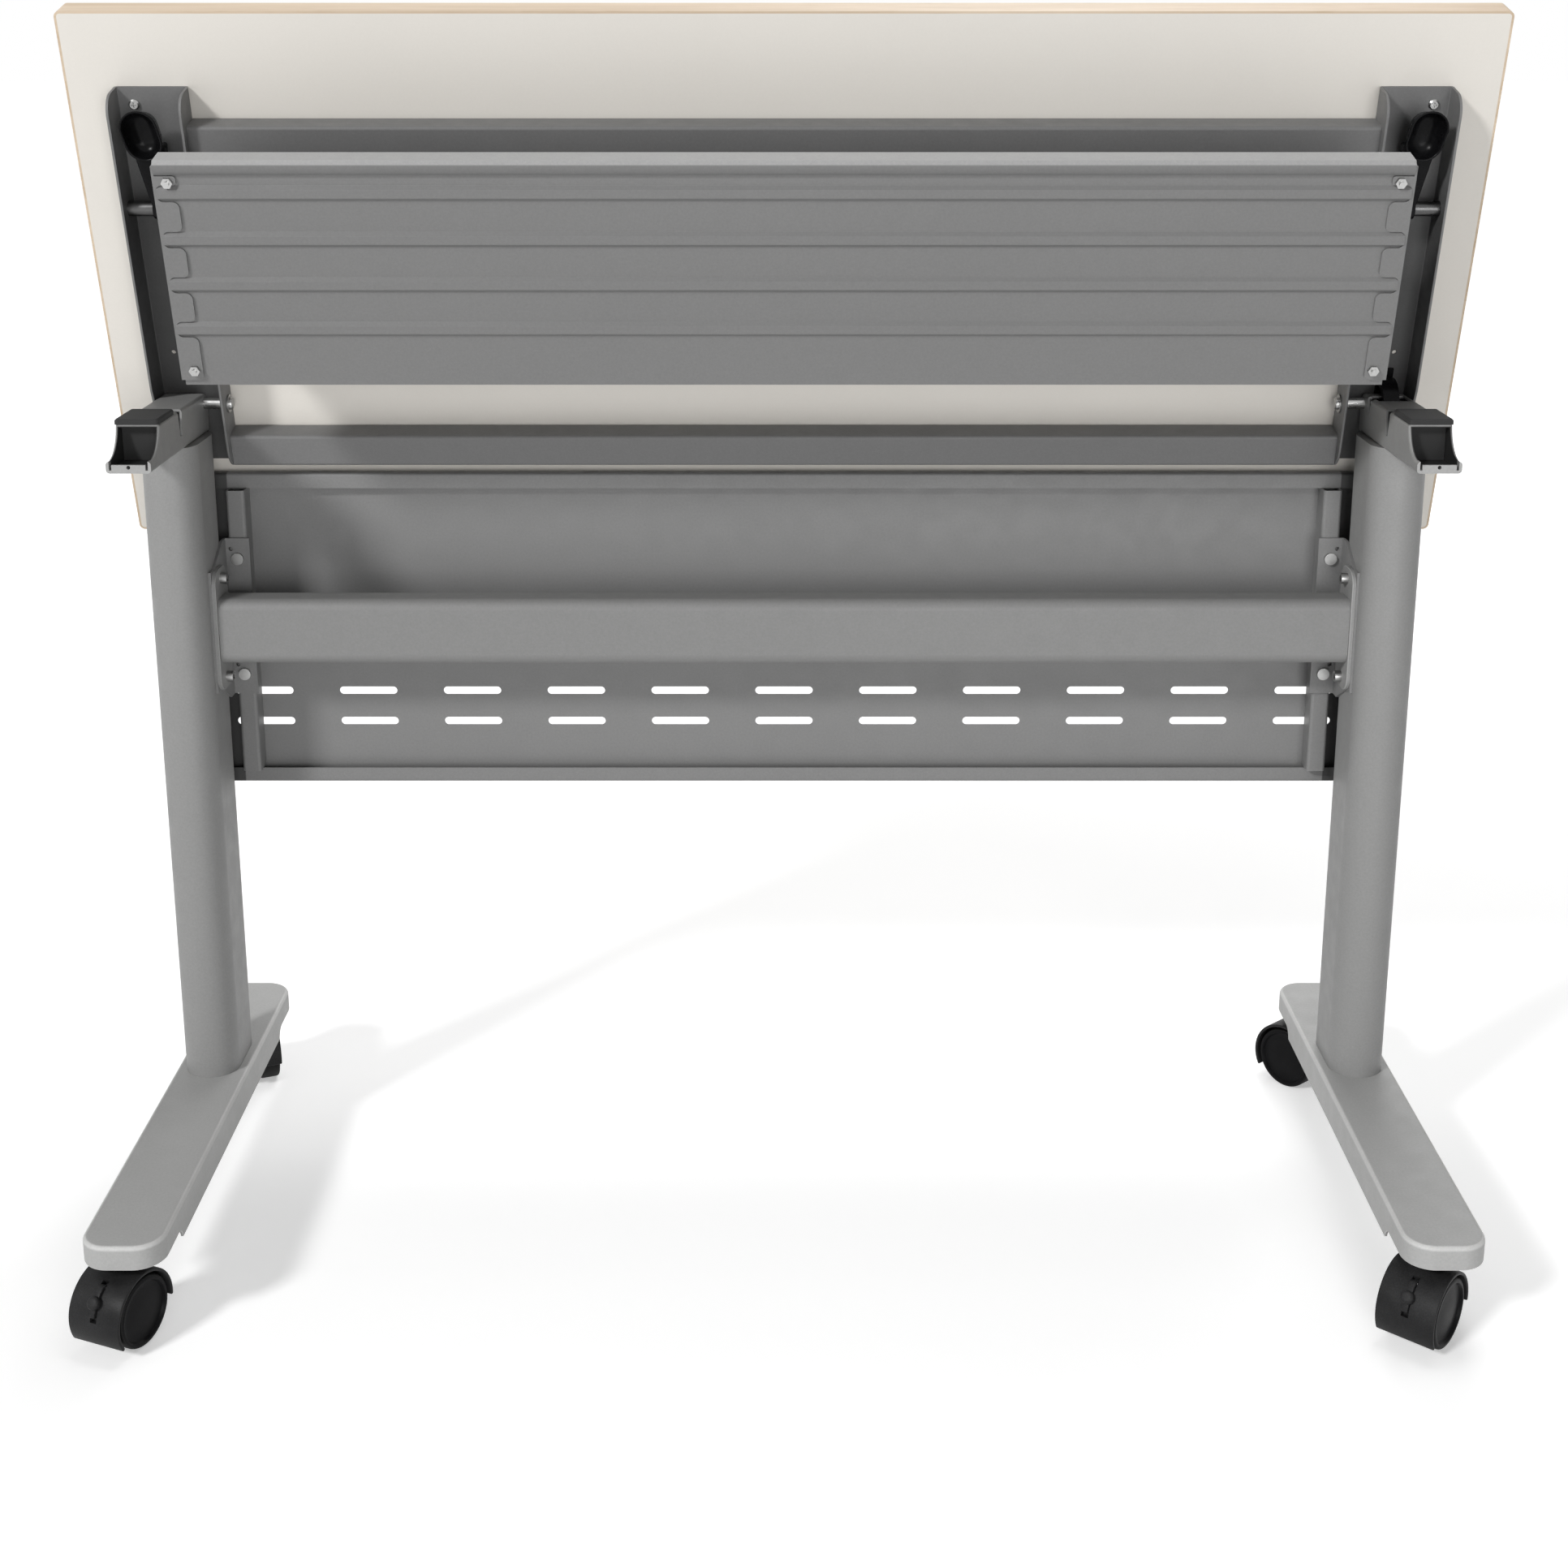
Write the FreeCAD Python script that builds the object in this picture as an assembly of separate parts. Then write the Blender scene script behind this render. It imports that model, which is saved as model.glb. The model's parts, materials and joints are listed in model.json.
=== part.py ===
import FreeCAD
import Part
import math
import os

# Flip-top desk on casters, stored with its top turned up. Millimetres.
# X runs along the desk, Y to the back, Z up; the origin is on the floor under the feet's middle.
# The top's pieces are drawn lowered, by reach (forward of the hinge) and drop (below the board),
# and are then turned up about the hinge.

# Top
TOP_WIDTH = 1200.0
TOP_DEPTH = 486.0
BOARD_THICK = 25.0
EDGE_BAND = 2.0
TOP_CORNER = 5.0
DESK_HEIGHT = 760.0
RAISE_ANGLE = 74.6
REAR_REACH = 137.0
HINGE_DROP = 15.0

# Feet and columns
FOOT_LENGTH = 486.0
FOOT_WIDTH = 68.0
FOOT_TOP = 96.0
FOOT_HEIGHT = 31.0
FOOT_ROUND = 4.0
FOOT_CORNER = 24.0
FOOT_STEP = 10.0
FOOT_STEP_LENGTH = 66.0
FOOT_STEP_RISE = 12.0
SHEET = 2.5
BEND = 3.0
COLUMN_INSET = 63.0
COLUMN_Y = 84.0
COLUMN_WIDTH = 50.0
COLUMN_DEPTH = 90.0
COLUMN_WALL = 2.0

# Support heads and hinge
HEAD_WIDTH = 37.0
HEAD_HEIGHT = 35.0
HEAD_NOSE = 143.0
HEAD_TOP_FRONT = 111.0
HEAD_REAR = 40.0
HEAD_REAR_CUT = 6.0
HEAD_LIP = 10.0
HEAD_RELIEF = 2.0
HEAD_HOLE_RADIUS = 1.6
HINGE_BACK = 30.0
PAD_THICK = 5.0
PAD_LENGTH = 46.0
PAD_CORNER = 3.0
PAD_PLUG_INSET = 9.0
PAD_PEG_RADIUS = 3.0
STOP_GAP = 0.2
HINGE_RADIUS = 5.0
HINGE_WASHER_RADIUS = 8.2
HINGE_WASHER = 1.2
HINGE_HEAD_RADIUS = 5.6
HINGE_HEAD_THICK = 4.6
HINGE_HEAD_ROUND = 2.4
SLOT_AHEAD = 49.0
SLOT_WIDTH = 5.0
SLOT_DEPTH = 22.0
WINDOW_FRONT = 34.0
WINDOW_REAR = 8.0
WINDOW_EDGE = 4.0
NOTCH_DEPTH = 15.0

# Arms and rails under the board
ARM_IN = 40.0
ARM_WIDTH = 62.0
ARM_SHEET = 2.0
ARM_FRONT = 286.0
ARM_REAR = 62.0
ARM_HEIGHT = 34.0
ARM_TIP_ROUND = 16.0
ARM_SCREW_SIDE = 15.0
ARM_SCREW_END = 15.0
ARM_SCREW_SECOND = 76.0
ARM_HOLE_REACH = 44.0
ARM_HOLE_IN = 46.0
RAIL_WIDTH = 30.0
RAIL_HEIGHT = 25.0
RAIL_SHEET = 1.5
FRONT_RAIL_REACH = 259.0
REAR_RAIL_REACH = -28.0

# Upright stay on the right arm
STAY_INNER = 16.5
STAY_OUTER = 23.0
STAY_WIDTH = 14.0
STAY_SWEEP = 60.0
STAY_BASE = 3.0

# Book shelf
SHELF_DROP = 137.0
SHELF_FRONT = 269.0
SHELF_REAR = 77.0
SHELF_SHEET = 1.2
SHELF_LIP = 16.0
SHELF_ROLL = 5.0
SHELF_ROLL_WIDTH = 11.0
BEAD_FIRST = 242.5
BEAD_PITCH = 38.8
BEAD_COUNT = 4
BEAD_WIDTH = 12.0
BEAD_DEPTH = 3.0
TAB_LENGTH = 16.5
TAB_ROUND = 5.0
TAB_GAP = 7.0
SCALLOP_ROUND = 5.0
PLATE_NECK_FRONT = 172.0
PLATE_NECK_REAR = 96.0
PLATE_FLARE = 16.0
PLATE_INSET = 4.0
PLATE_RISE = 14.0
SHELF_BOLT_INSET = 10.0
SHELF_BOLT_FRONT = 17.0
SHELF_BOLT_REAR = 13.0

# Release levers
LEVER_REACH = 185.0
LEVER_DROP = 18.0
LEVER_HUB_RADIUS = 9.0
LATCH_PIN_RADIUS = 4.0
SPACER_RADIUS = 6.5
PADDLE_IN = 33.0
PADDLE_REACH = 255.0
PADDLE_WIDTH = 36.0
PADDLE_LENGTH = 42.0
PADDLE_HEIGHT = 18.0
PADDLE_STAND = 20.0
PADDLE_RIM = 2.2
DISH_DEPTH = 13.0
NECK_WIDTH = 18.0
HUB_PAST = 5.0
LEVER_ARM_WIDTH = 11.0
TOOTH_RADIUS = 1.2
TOOTH_REST = 7.3
TOOTH_PAST = 7.0

# Beam and modesty panel
BEAM_HEIGHT = 60.0
BEAM_DEPTH = 36.0
BEAM_ROUND = 10.0
BEAM_DOWN = 240.0
END_PLATE = 3.5
END_PLATE_WIDTH = 40.0
END_PLATE_HEIGHT = 112.0
END_PLATE_CORNER = 14.0
BRACKET_HEIGHT = 148.0
BRACKET_REACH = 24.0
PANEL_PAST = 8.0
PANEL_DOWN = 108.0
PANEL_HEIGHT = 298.0
PANEL_BACK = 145.0
PANEL_DEPTH = 12.0
PANEL_LIP = 14.0
PANEL_SHEET = 1.2
PANEL_BOLT_INSET = 19.0
PANEL_BOLT_HEAD = 5.5
VENT_COUNT = 11
VENT_END = 57.0
VENT_LENGTH = 54.0
VENT_WIDTH = 7.5
VENT_ROWS = (87.0, 57.0)
STIFFENER_IN = 38.0
STIFFENER_WIDTH = 17.0
STIFFENER_DEPTH = 21.0

# Fasteners
BOLT_RADIUS = 3.0
BOLT_HEAD_RADIUS = 5.0
BOLT_HEAD_THICK = 6.0
SCREW_RADIUS = 2.0
SCREW_HEAD_RADIUS = 4.5
SCREW_HEAD_THICK = 2.5
SCREW_HEAD_BEVEL = 1.2
SCREW_GRIP = 15.0
NUT_RADIUS = 4.6
NUT_THICK = 3.2

# Casters
CASTER_INSET = 38.0
CASTER_TRAIL = 19.0
WHEEL_RADIUS = 30.0
WHEEL_WIDTH = 19.0
WHEEL_FACE = 4.0
WHEEL_GAP = 1.0
HOOD_GAP = 2.4
HOOD_WALL = 2.8
HOOD_LOW_BEHIND = 12.0
HOOD_LOW_AHEAD = 26.0
WEB_HALF = 4.0
WEB_LOW = 14.0
AXLE_RADIUS = 4.0
STEM_RADIUS = 5.0
STEM_BOSS_RADIUS = 11.0
SOCKET_RADIUS = 12.0
BRAKE_WIDTH = 5.0
BRAKE_LOW = 16.0
BRAKE_HIGH = 60.0
BRAKE_THUMB = 34.0
BRAKE_THUMB_RADIUS = 5.5
BRAKE_PIN_RADIUS = 1.0
CASTERS = (
    ("front_left", -1, -1, 158.0, True),
    ("front_right", 1, -1, 140.0, True),
    ("rear_left", -1, 1, 22.0, False),
    ("rear_right", 1, 1, 40.0, False),
)

# Clearances
RUNNING = 0.05
FREE = 0.3
BOLT_GAP = 0.2
THROUGH = 1.0

# Derived places
UNDERSIDE = DESK_HEIGHT - BOARD_THICK
COLUMN_X = TOP_WIDTH / 2 - COLUMN_INSET
HEAD_TOP = UNDERSIDE - ARM_SHEET - PAD_THICK
HEAD_BOTTOM = HEAD_TOP - HEAD_HEIGHT
HINGE_Y = COLUMN_Y + HINGE_BACK
HINGE_Z = UNDERSIDE - HINGE_DROP
FRONT_REACH = TOP_DEPTH - REAR_REACH
ARM_INNER_X = COLUMN_X - ARM_IN
ARM_OUTER_X = ARM_INNER_X + ARM_WIDTH
HEAD_IN = COLUMN_X - HEAD_WIDTH / 2
HEAD_OUT = COLUMN_X + HEAD_WIDTH / 2
COLUMN_IN = COLUMN_X - COLUMN_WIDTH / 2
BEAM_Z = DESK_HEIGHT - BEAM_DOWN
END_PLATE_OUT = COLUMN_IN - SHEET
BEAM_END = END_PLATE_OUT - END_PLATE
SHELF_PLATE_IN = ARM_INNER_X - ARM_SHEET
PADDLE_X = ARM_INNER_X + PADDLE_IN
HUB_OUT = PADDLE_X + HUB_PAST
LEVER_ARM_X = (ARM_INNER_X + ARM_SHEET + HEAD_IN) / 2
SLOT_Y = COLUMN_Y - SLOT_AHEAD
TOOTH_REACH = HINGE_Y - SLOT_Y
TOOTH_DROP = UNDERSIDE - (HEAD_TOP - SLOT_DEPTH + TOOTH_RADIUS + TOOTH_REST)
PANEL_TOP = DESK_HEIGHT - PANEL_DOWN
PANEL_BOTTOM = PANEL_TOP - PANEL_HEIGHT
PANEL_HALF = COLUMN_X + PANEL_PAST
PANEL_FRONT = PANEL_BACK - PANEL_DEPTH
STIFFENER_X = COLUMN_X - STIFFENER_IN
BRACKET_BACK = PANEL_BACK - PANEL_SHEET - STIFFENER_DEPTH
HOOD_INNER = WHEEL_RADIUS + HOOD_GAP
HOOD_OUTER = HOOD_INNER + HOOD_WALL
WHEEL_IN = WEB_HALF + WHEEL_GAP
WHEEL_OUT = WHEEL_IN + WHEEL_WIDTH
HOOD_HALF = WHEEL_OUT + WHEEL_GAP
SWIVEL_TOP = FOOT_TOP - FOOT_HEIGHT + FOOT_STEP - 2.0
STEM_BOTTOM = WHEEL_RADIUS + math.sqrt(HOOD_INNER ** 2 - CASTER_TRAIL ** 2) + 4.0
X_AXIS = FreeCAD.Vector(1, 0, 0)
Y_AXIS = FreeCAD.Vector(0, 1, 0)
Z_AXIS = FreeCAD.Vector(0, 0, 1)


# Basic forms

def box(x0, x1, y0, y1, z0, z1):
    corner = FreeCAD.Vector(min(x0, x1), min(y0, y1), min(z0, z1))
    return Part.makeBox(abs(x1 - x0), abs(y1 - y0), abs(z1 - z0), corner)


def rod_x(x0, x1, y, z, radius):
    return Part.makeCylinder(radius, x1 - x0, FreeCAD.Vector(x0, y, z), X_AXIS)


def rod_y(y0, y1, x, z, radius):
    return Part.makeCylinder(radius, y1 - y0, FreeCAD.Vector(x, y0, z), Y_AXIS)


def rod_z(z0, z1, x, y, radius):
    return Part.makeCylinder(radius, z1 - z0, FreeCAD.Vector(x, y, z0), Z_AXIS)


# A closed outline in the YZ plane; an entry of four numbers is an arc's middle and end.
def outline_yz(path):
    points = [FreeCAD.Vector(0, p[-2], p[-1]) for p in path]
    edges = []
    for i, entry in enumerate(path):
        start = points[i - 1]
        if len(entry) == 4:
            middle = FreeCAD.Vector(0, entry[0], entry[1])
            edges.append(Part.Arc(start, middle, points[i]).toShape())
        else:
            edges.append(Part.makeLine(start, points[i]))
    return Part.Face(Part.Wire(edges))


def plate_yz(path, x0, x1):
    solid = outline_yz(path).extrude(FreeCAD.Vector(x1 - x0, 0, 0))
    solid.translate(FreeCAD.Vector(x0, 0, 0))
    return solid


# A plate across X whose outline is given as reach and drop of the lowered top.
def plate_under(path, x0, x1):
    def turned(entry):
        pairs = zip(entry[0::2], entry[1::2])
        return tuple(v for reach, drop in pairs for v in (HINGE_Y - reach, UNDERSIDE - drop))
    return plate_yz([turned(entry) for entry in path], x0, x1)


def box_under(x0, x1, reach0, reach1, drop0, drop1):
    return box(x0, x1, HINGE_Y - reach0, HINGE_Y - reach1, UNDERSIDE - drop0, UNDERSIDE - drop1)


# A bent sheet's outline, worked out from the line along its inner side.
def sheet_outline(line, thick):
    normals = []
    for (a0, b0), (a1, b1) in zip(line, line[1:]):
        length = math.hypot(a1 - a0, b1 - b0)
        normals.append(((b1 - b0) / length, -(a1 - a0) / length))
    far = []
    for i, (a, b) in enumerate(line):
        n0 = normals[max(i - 1, 0)]
        n1 = normals[min(i, len(normals) - 1)]
        scale = thick / (1 + n0[0] * n1[0] + n0[1] * n1[1])
        far.append((a + (n0[0] + n1[0]) * scale, b + (n0[1] + n1[1]) * scale))
    return list(line) + far[::-1]


def stadium_z(x, y, width, depth, z0, z1):
    half = depth / 2 - width / 2
    middle = box(x - width / 2, x + width / 2, y - half, y + half, z0, z1)
    ends = [rod_z(z0, z1, x, y + s * half, width / 2) for s in (-1, 1)]
    return middle.multiFuse(ends).removeSplitter()


def runs_along(edge, direction):
    return abs(edge.tangentAt(edge.FirstParameter).dot(direction)) > 0.99


def rounded_bar(x0, x1, y0, y1, z0, z1, radius, along):
    bar = box(x0, x1, y0, y1, z0, z1)
    return bar.makeFillet(radius, [e for e in bar.Edges if runs_along(e, along)])


# A channel folded from sheet along Y, open below
def channel(x0, x1, y0, y1, top, deep, thick):
    def block(inset, extra):
        bar = box(x0 + inset, x1 - inset, y0 - extra, y1 + extra, top - deep - extra, top - inset)
        bends = [e for e in bar.Edges if runs_along(e, Y_AXIS) and e.CenterOfMass.z > top - inset - 0.1]
        return bar.makeFillet(BEND - inset, bends)
    return block(0, 0).cut(block(thick, THROUGH))


def hexagon_nut(radius, thick, place, direction):
    corners = [i * math.pi / 3 for i in range(7)]
    points = [FreeCAD.Vector(radius * math.cos(a), radius * math.sin(a), 0) for a in corners]
    nut = Part.Face(Part.makePolygon(points)).extrude(FreeCAD.Vector(0, 0, thick))
    nut.Placement = FreeCAD.Placement(place, FreeCAD.Rotation(Z_AXIS, direction))
    return nut


# A screw from below: bevelled head under a face, shank up to the given height
def screw_up(x, y, face, end):
    knob = rod_z(face - SCREW_HEAD_THICK, face, x, y, SCREW_HEAD_RADIUS)
    rim = [e for e in knob.Edges if e.Closed and e.CenterOfMass.z < face - 1]
    knob = knob.makeChamfer(SCREW_HEAD_BEVEL, rim)
    return knob.fuse(rod_z(face - 0.5, end, x, y, SCREW_RADIUS)).removeSplitter()


def stretched(shape, x, y, z, place):
    scale = FreeCAD.Matrix()
    scale.scale(x, y, z)
    longer = shape.transformGeometry(scale)
    longer.translate(place)
    return longer


def mirrored(shape):
    return shape.mirror(FreeCAD.Vector(0, 0, 0), X_AXIS)


def raised(shape):
    turned = shape.copy()
    turned.rotate(FreeCAD.Vector(0, HINGE_Y, HINGE_Z), X_AXIS, -RAISE_ANGLE)
    return turned


# Foot: a pressed shell, open below, whose skirt steps up at both ends
def foot():
    bottom = FOOT_TOP - FOOT_HEIGHT

    def shell(inset, top):
        half_x = FOOT_WIDTH / 2 - inset
        half_y = FOOT_LENGTH / 2 - inset
        body = rounded_bar(COLUMN_X - half_x, COLUMN_X + half_x, -half_y, half_y, bottom, top,
                           FOOT_CORNER - inset, Z_AXIS)
        rim = [e for e in body.Edges if all(abs(v.Z - top) < 0.01 for v in e.Vertexes)]
        return body.makeFillet(FOOT_ROUND - inset, rim)
    body = shell(0, FOOT_TOP).cut(shell(SHEET, FOOT_TOP - SHEET))
    step = bottom + FOOT_STEP
    far = FOOT_LENGTH / 2 + THROUGH
    near = FOOT_LENGTH / 2 - FOOT_STEP_LENGTH
    curve = near + FOOT_STEP_RISE / 3
    for side in (-1, 1):
        path = [(side * near, bottom - THROUGH), (side * near, bottom),
                (side * curve, bottom + 0.7 * FOOT_STEP, side * (near + FOOT_STEP_RISE), step),
                (side * far, step), (side * far, bottom - THROUGH)]
        body = body.cut(plate_yz(path, COLUMN_X - FOOT_WIDTH, COLUMN_X + FOOT_WIDTH))
    return body


def caster_place(side, end):
    return FreeCAD.Vector(side * COLUMN_X, end * (FOOT_LENGTH / 2 - CASTER_INSET), 0)


# Sockets stand under the foot's top and grip the stems
def caster_sockets():
    solids = []
    low = SWIVEL_TOP + 2 * FREE
    for _, side, end, _, _ in CASTERS:
        at = caster_place(side, end)
        bush = rod_z(low, FOOT_TOP - SHEET, at.x, at.y, SOCKET_RADIUS)
        solids.append(bush.cut(rod_z(low - THROUGH, FOOT_TOP, at.x, at.y, STEM_RADIUS)))
    return Part.makeCompound(solids)


def caster_stems():
    solids = []
    for _, side, end, _, _ in CASTERS:
        at = caster_place(side, end)
        solids.append(rod_z(STEM_BOTTOM + FREE, FOOT_TOP - SHEET, at.x, at.y, STEM_RADIUS))
    return Part.makeCompound(solids)


# Column: flat-oval tube with a closed top
def column():
    wall = 2 * COLUMN_WALL
    outer = stadium_z(COLUMN_X, COLUMN_Y, COLUMN_WIDTH, COLUMN_DEPTH, FOOT_TOP, HEAD_BOTTOM)
    inner = stadium_z(COLUMN_X, COLUMN_Y, COLUMN_WIDTH - wall, COLUMN_DEPTH - wall,
                      FOOT_TOP, HEAD_BOTTOM - COLUMN_WALL)
    tube = outer.cut(inner)
    for z in beam_bolt_heights():
        tube = tube.cut(rod_x(COLUMN_IN - THROUGH, COLUMN_IN + wall, COLUMN_Y, z, BOLT_RADIUS + BOLT_GAP))
    return tube


# Support head: folded box with an open, hollowed front and the latch slot
def head(with_window):
    nose = COLUMN_Y - HEAD_NOSE
    front = COLUMN_Y - HEAD_TOP_FRONT
    rear = COLUMN_Y + HEAD_REAR
    lip = HEAD_BOTTOM + HEAD_LIP
    inside = (HEAD_IN + SHEET, HEAD_OUT - SHEET)
    hollow = ((front - nose) / 3.5, HEAD_HEIGHT / 2)
    side = [(nose, HEAD_BOTTOM), (nose, lip),
            (front - hollow[0], HEAD_TOP - hollow[1], front, HEAD_TOP), (rear - HEAD_REAR_CUT, HEAD_TOP),
            (rear, HEAD_TOP - HEAD_REAR_CUT), (rear, HEAD_BOTTOM)]
    body = plate_yz(side, HEAD_IN, HEAD_OUT)
    bends = [e for e in body.Edges if runs_along(e, Y_AXIS)]
    body = body.makeFillet(BEND, bends)
    body = body.cut(box(*inside, nose + SHEET, rear - SHEET, HEAD_BOTTOM + SHEET, HEAD_TOP - SHEET))
    body = body.cut(box(*inside, nose - THROUGH, front, lip - BEND, HEAD_TOP + THROUGH))
    for x in (inside[0], inside[1] - HEAD_RELIEF):
        body = body.cut(box(x, x + HEAD_RELIEF, nose - THROUGH, nose + SHEET, HEAD_BOTTOM + SHEET, lip))
    body = body.cut(box(HEAD_IN - THROUGH, HEAD_IN + TOOTH_PAST + THROUGH, SLOT_Y - SLOT_WIDTH / 2,
                        SLOT_Y + SLOT_WIDTH / 2, HEAD_TOP - SLOT_DEPTH, HEAD_TOP + THROUGH))
    body = body.cut(rod_x(HEAD_IN - THROUGH, HEAD_OUT + THROUGH, HINGE_Y, HINGE_Z, HINGE_RADIUS))
    body = body.cut(rod_y(nose - THROUGH, nose + SHEET + THROUGH, COLUMN_X, HEAD_BOTTOM + HEAD_LIP / 2,
                          HEAD_HOLE_RADIUS))
    for y in pad_peg_places():
        body = body.cut(rod_z(HEAD_TOP - SHEET - THROUGH, HEAD_TOP + THROUGH, COLUMN_X, y,
                              PAD_PEG_RADIUS + FREE))
    if with_window:
        body = body.cut(box(HEAD_IN + WINDOW_EDGE, HEAD_OUT - WINDOW_EDGE, HINGE_Y - WINDOW_FRONT,
                            HINGE_Y - WINDOW_REAR, HEAD_TOP - SHEET - THROUGH, HEAD_TOP + THROUGH))
        middle = HINGE_Y - (WINDOW_FRONT + WINDOW_REAR) / 2
        notch = [(middle - SLOT_WIDTH, HEAD_TOP + THROUGH), (middle + 2 * SLOT_WIDTH, HEAD_TOP + THROUGH),
                 (middle + SLOT_WIDTH / 2, HEAD_TOP - NOTCH_DEPTH)]
        body = body.cut(plate_yz(notch, HEAD_IN - THROUGH, inside[0] + WINDOW_EDGE))
    return body


def pad_peg_places():
    front = COLUMN_Y - HEAD_TOP_FRONT + PAD_PLUG_INSET
    span = PAD_LENGTH - PAD_PLUG_INSET
    return (front + span / 4, front + 3 * span / 4)


# Rest pad: a slab on the head, pegged to a plug that closes the mouth below it
def pad():
    front = COLUMN_Y - HEAD_TOP_FRONT
    rear = front + PAD_LENGTH
    top = HEAD_TOP + PAD_THICK - STOP_GAP
    inside = (HEAD_IN + SHEET + FREE, HEAD_OUT - SHEET - FREE)
    ceiling = HEAD_TOP - SHEET - FREE
    slab = rounded_bar(HEAD_IN, HEAD_OUT, front - PAD_CORNER, rear, HEAD_TOP, top, PAD_CORNER, Z_AXIS)
    rim = [e for e in slab.Edges if all(abs(v.Z - top) < 0.01 for v in e.Vertexes)]
    slab = slab.makeChamfer(PAD_CORNER / 2, rim)
    plug = box(*inside, front + PAD_PLUG_INSET, rear, HEAD_BOTTOM + SHEET + FREE, ceiling)
    pegs = [rod_z(ceiling, HEAD_TOP, COLUMN_X, y, PAD_PEG_RADIUS) for y in pad_peg_places()]
    return slab.multiFuse([plug] + pegs).removeSplitter()


# Hinge shaft, held in the head, with a washer and a domed head at both ends
def pivot_shaft():
    inner = ARM_INNER_X - FREE
    outer = ARM_OUTER_X + FREE
    body = rod_x(inner, outer, HINGE_Y, HINGE_Z, HINGE_RADIUS)
    for face, way in ((inner, -1), (outer, 1)):
        place = FreeCAD.Vector(face, HINGE_Y, HINGE_Z)
        washer = Part.makeCylinder(HINGE_WASHER_RADIUS, HINGE_WASHER, place, X_AXIS * way)
        dome = Part.makeCylinder(HINGE_HEAD_RADIUS, HINGE_HEAD_THICK, place, X_AXIS * way)
        far = [e for e in dome.Edges if e.Closed and abs(e.CenterOfMass.x - face) > HINGE_WASHER]
        body = body.multiFuse([washer, dome.makeFillet(HINGE_HEAD_ROUND, far)])
    return body.removeSplitter()


# Beam between the columns, its end plates and bolts
def beam():
    def tube(inset):
        half = BEAM_HEIGHT / 2 - inset
        deep = BEAM_DEPTH / 2 - inset
        return rounded_bar(-BEAM_END, BEAM_END, COLUMN_Y - deep, COLUMN_Y + deep,
                           BEAM_Z - half, BEAM_Z + half, BEAM_ROUND - inset, X_AXIS)
    return tube(0).cut(tube(COLUMN_WALL))


def beam_bolt_heights():
    offset = END_PLATE_HEIGHT / 2 - 2 * BOLT_HEAD_RADIUS
    return (BEAM_Z - offset, BEAM_Z + offset)


def end_plate():
    wide = END_PLATE_WIDTH / 2
    high = END_PLATE_HEIGHT / 2
    plate = rounded_bar(BEAM_END, END_PLATE_OUT, COLUMN_Y - wide, COLUMN_Y + wide,
                        BEAM_Z - high, BEAM_Z + high, END_PLATE_CORNER, X_AXIS)
    for z in beam_bolt_heights():
        hole = rod_x(BEAM_END - THROUGH, END_PLATE_OUT + THROUGH, COLUMN_Y, z, BOLT_RADIUS + BOLT_GAP)
        plate = plate.cut(hole)
    return plate


def beam_bolts():
    solids = []
    far = BEAM_END - BOLT_HEAD_THICK
    for z in beam_bolt_heights():
        bolt = rod_x(far, BEAM_END, COLUMN_Y, z, BOLT_HEAD_RADIUS)
        bolt = bolt.fuse(rod_x(BEAM_END - THROUGH, COLUMN_IN + BOLT_HEAD_THICK, COLUMN_Y, z, BOLT_RADIUS))
        socket = FreeCAD.Vector(far - THROUGH, COLUMN_Y, z)
        bolt = bolt.cut(hexagon_nut(BOLT_RADIUS, BOLT_RADIUS + THROUGH, socket, X_AXIS)).removeSplitter()
        solids += [bolt, mirrored(bolt)]
    return Part.makeCompound(solids)


# Panel bracket: an angle whose long leg lies on the column and whose short leg carries the panel
def panel_bracket():
    front = COLUMN_Y - END_PLATE_WIDTH / 2
    back = BRACKET_BACK
    high = BEAM_Z + BRACKET_HEIGHT / 2
    low = BEAM_Z - BRACKET_HEIGHT / 2
    ear = END_PLATE_HEIGHT / 2
    slope = END_PLATE_CORNER
    side = [(front, BEAM_Z - ear), (front, BEAM_Z + ear), (front + slope, BEAM_Z + ear), (back - slope, high),
            (back, high), (back, low), (back - slope, low), (front + slope, BEAM_Z - ear)]
    leg = plate_yz(side, END_PLATE_OUT, COLUMN_IN)
    wing = box(COLUMN_IN - BRACKET_REACH, COLUMN_IN, back - SHEET, back, low, high)
    body = leg.fuse(wing).removeSplitter()
    corner = [e for e in body.Edges if runs_along(e, Z_AXIS) and abs(e.CenterOfMass.x - COLUMN_IN) < 0.01
              and abs(e.CenterOfMass.y - back) < 0.01]
    body = body.makeFillet(BEND, corner)
    for z in beam_bolt_heights():
        hole = rod_x(END_PLATE_OUT - THROUGH, COLUMN_IN + THROUGH, COLUMN_Y, z, BOLT_RADIUS + BOLT_GAP)
        body = body.cut(hole)
    half = SCREW_RADIUS + FREE
    for z in panel_bolt_heights():
        body = body.cut(box(STIFFENER_X - half, STIFFENER_X + half, back - SHEET - THROUGH, back + THROUGH,
                            z - 2 * half, z + 2 * half))
        body = body.cut(rod_y(back - SHEET - THROUGH, back + THROUGH, STIFFENER_X + 2 * BEND, z + 3 * BEND,
                              SCREW_RADIUS))
    return body


def panel_bolt_heights():
    offset = BRACKET_HEIGHT / 2 - PANEL_BOLT_INSET
    return (BEAM_Z - offset, BEAM_Z + offset)


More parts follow.
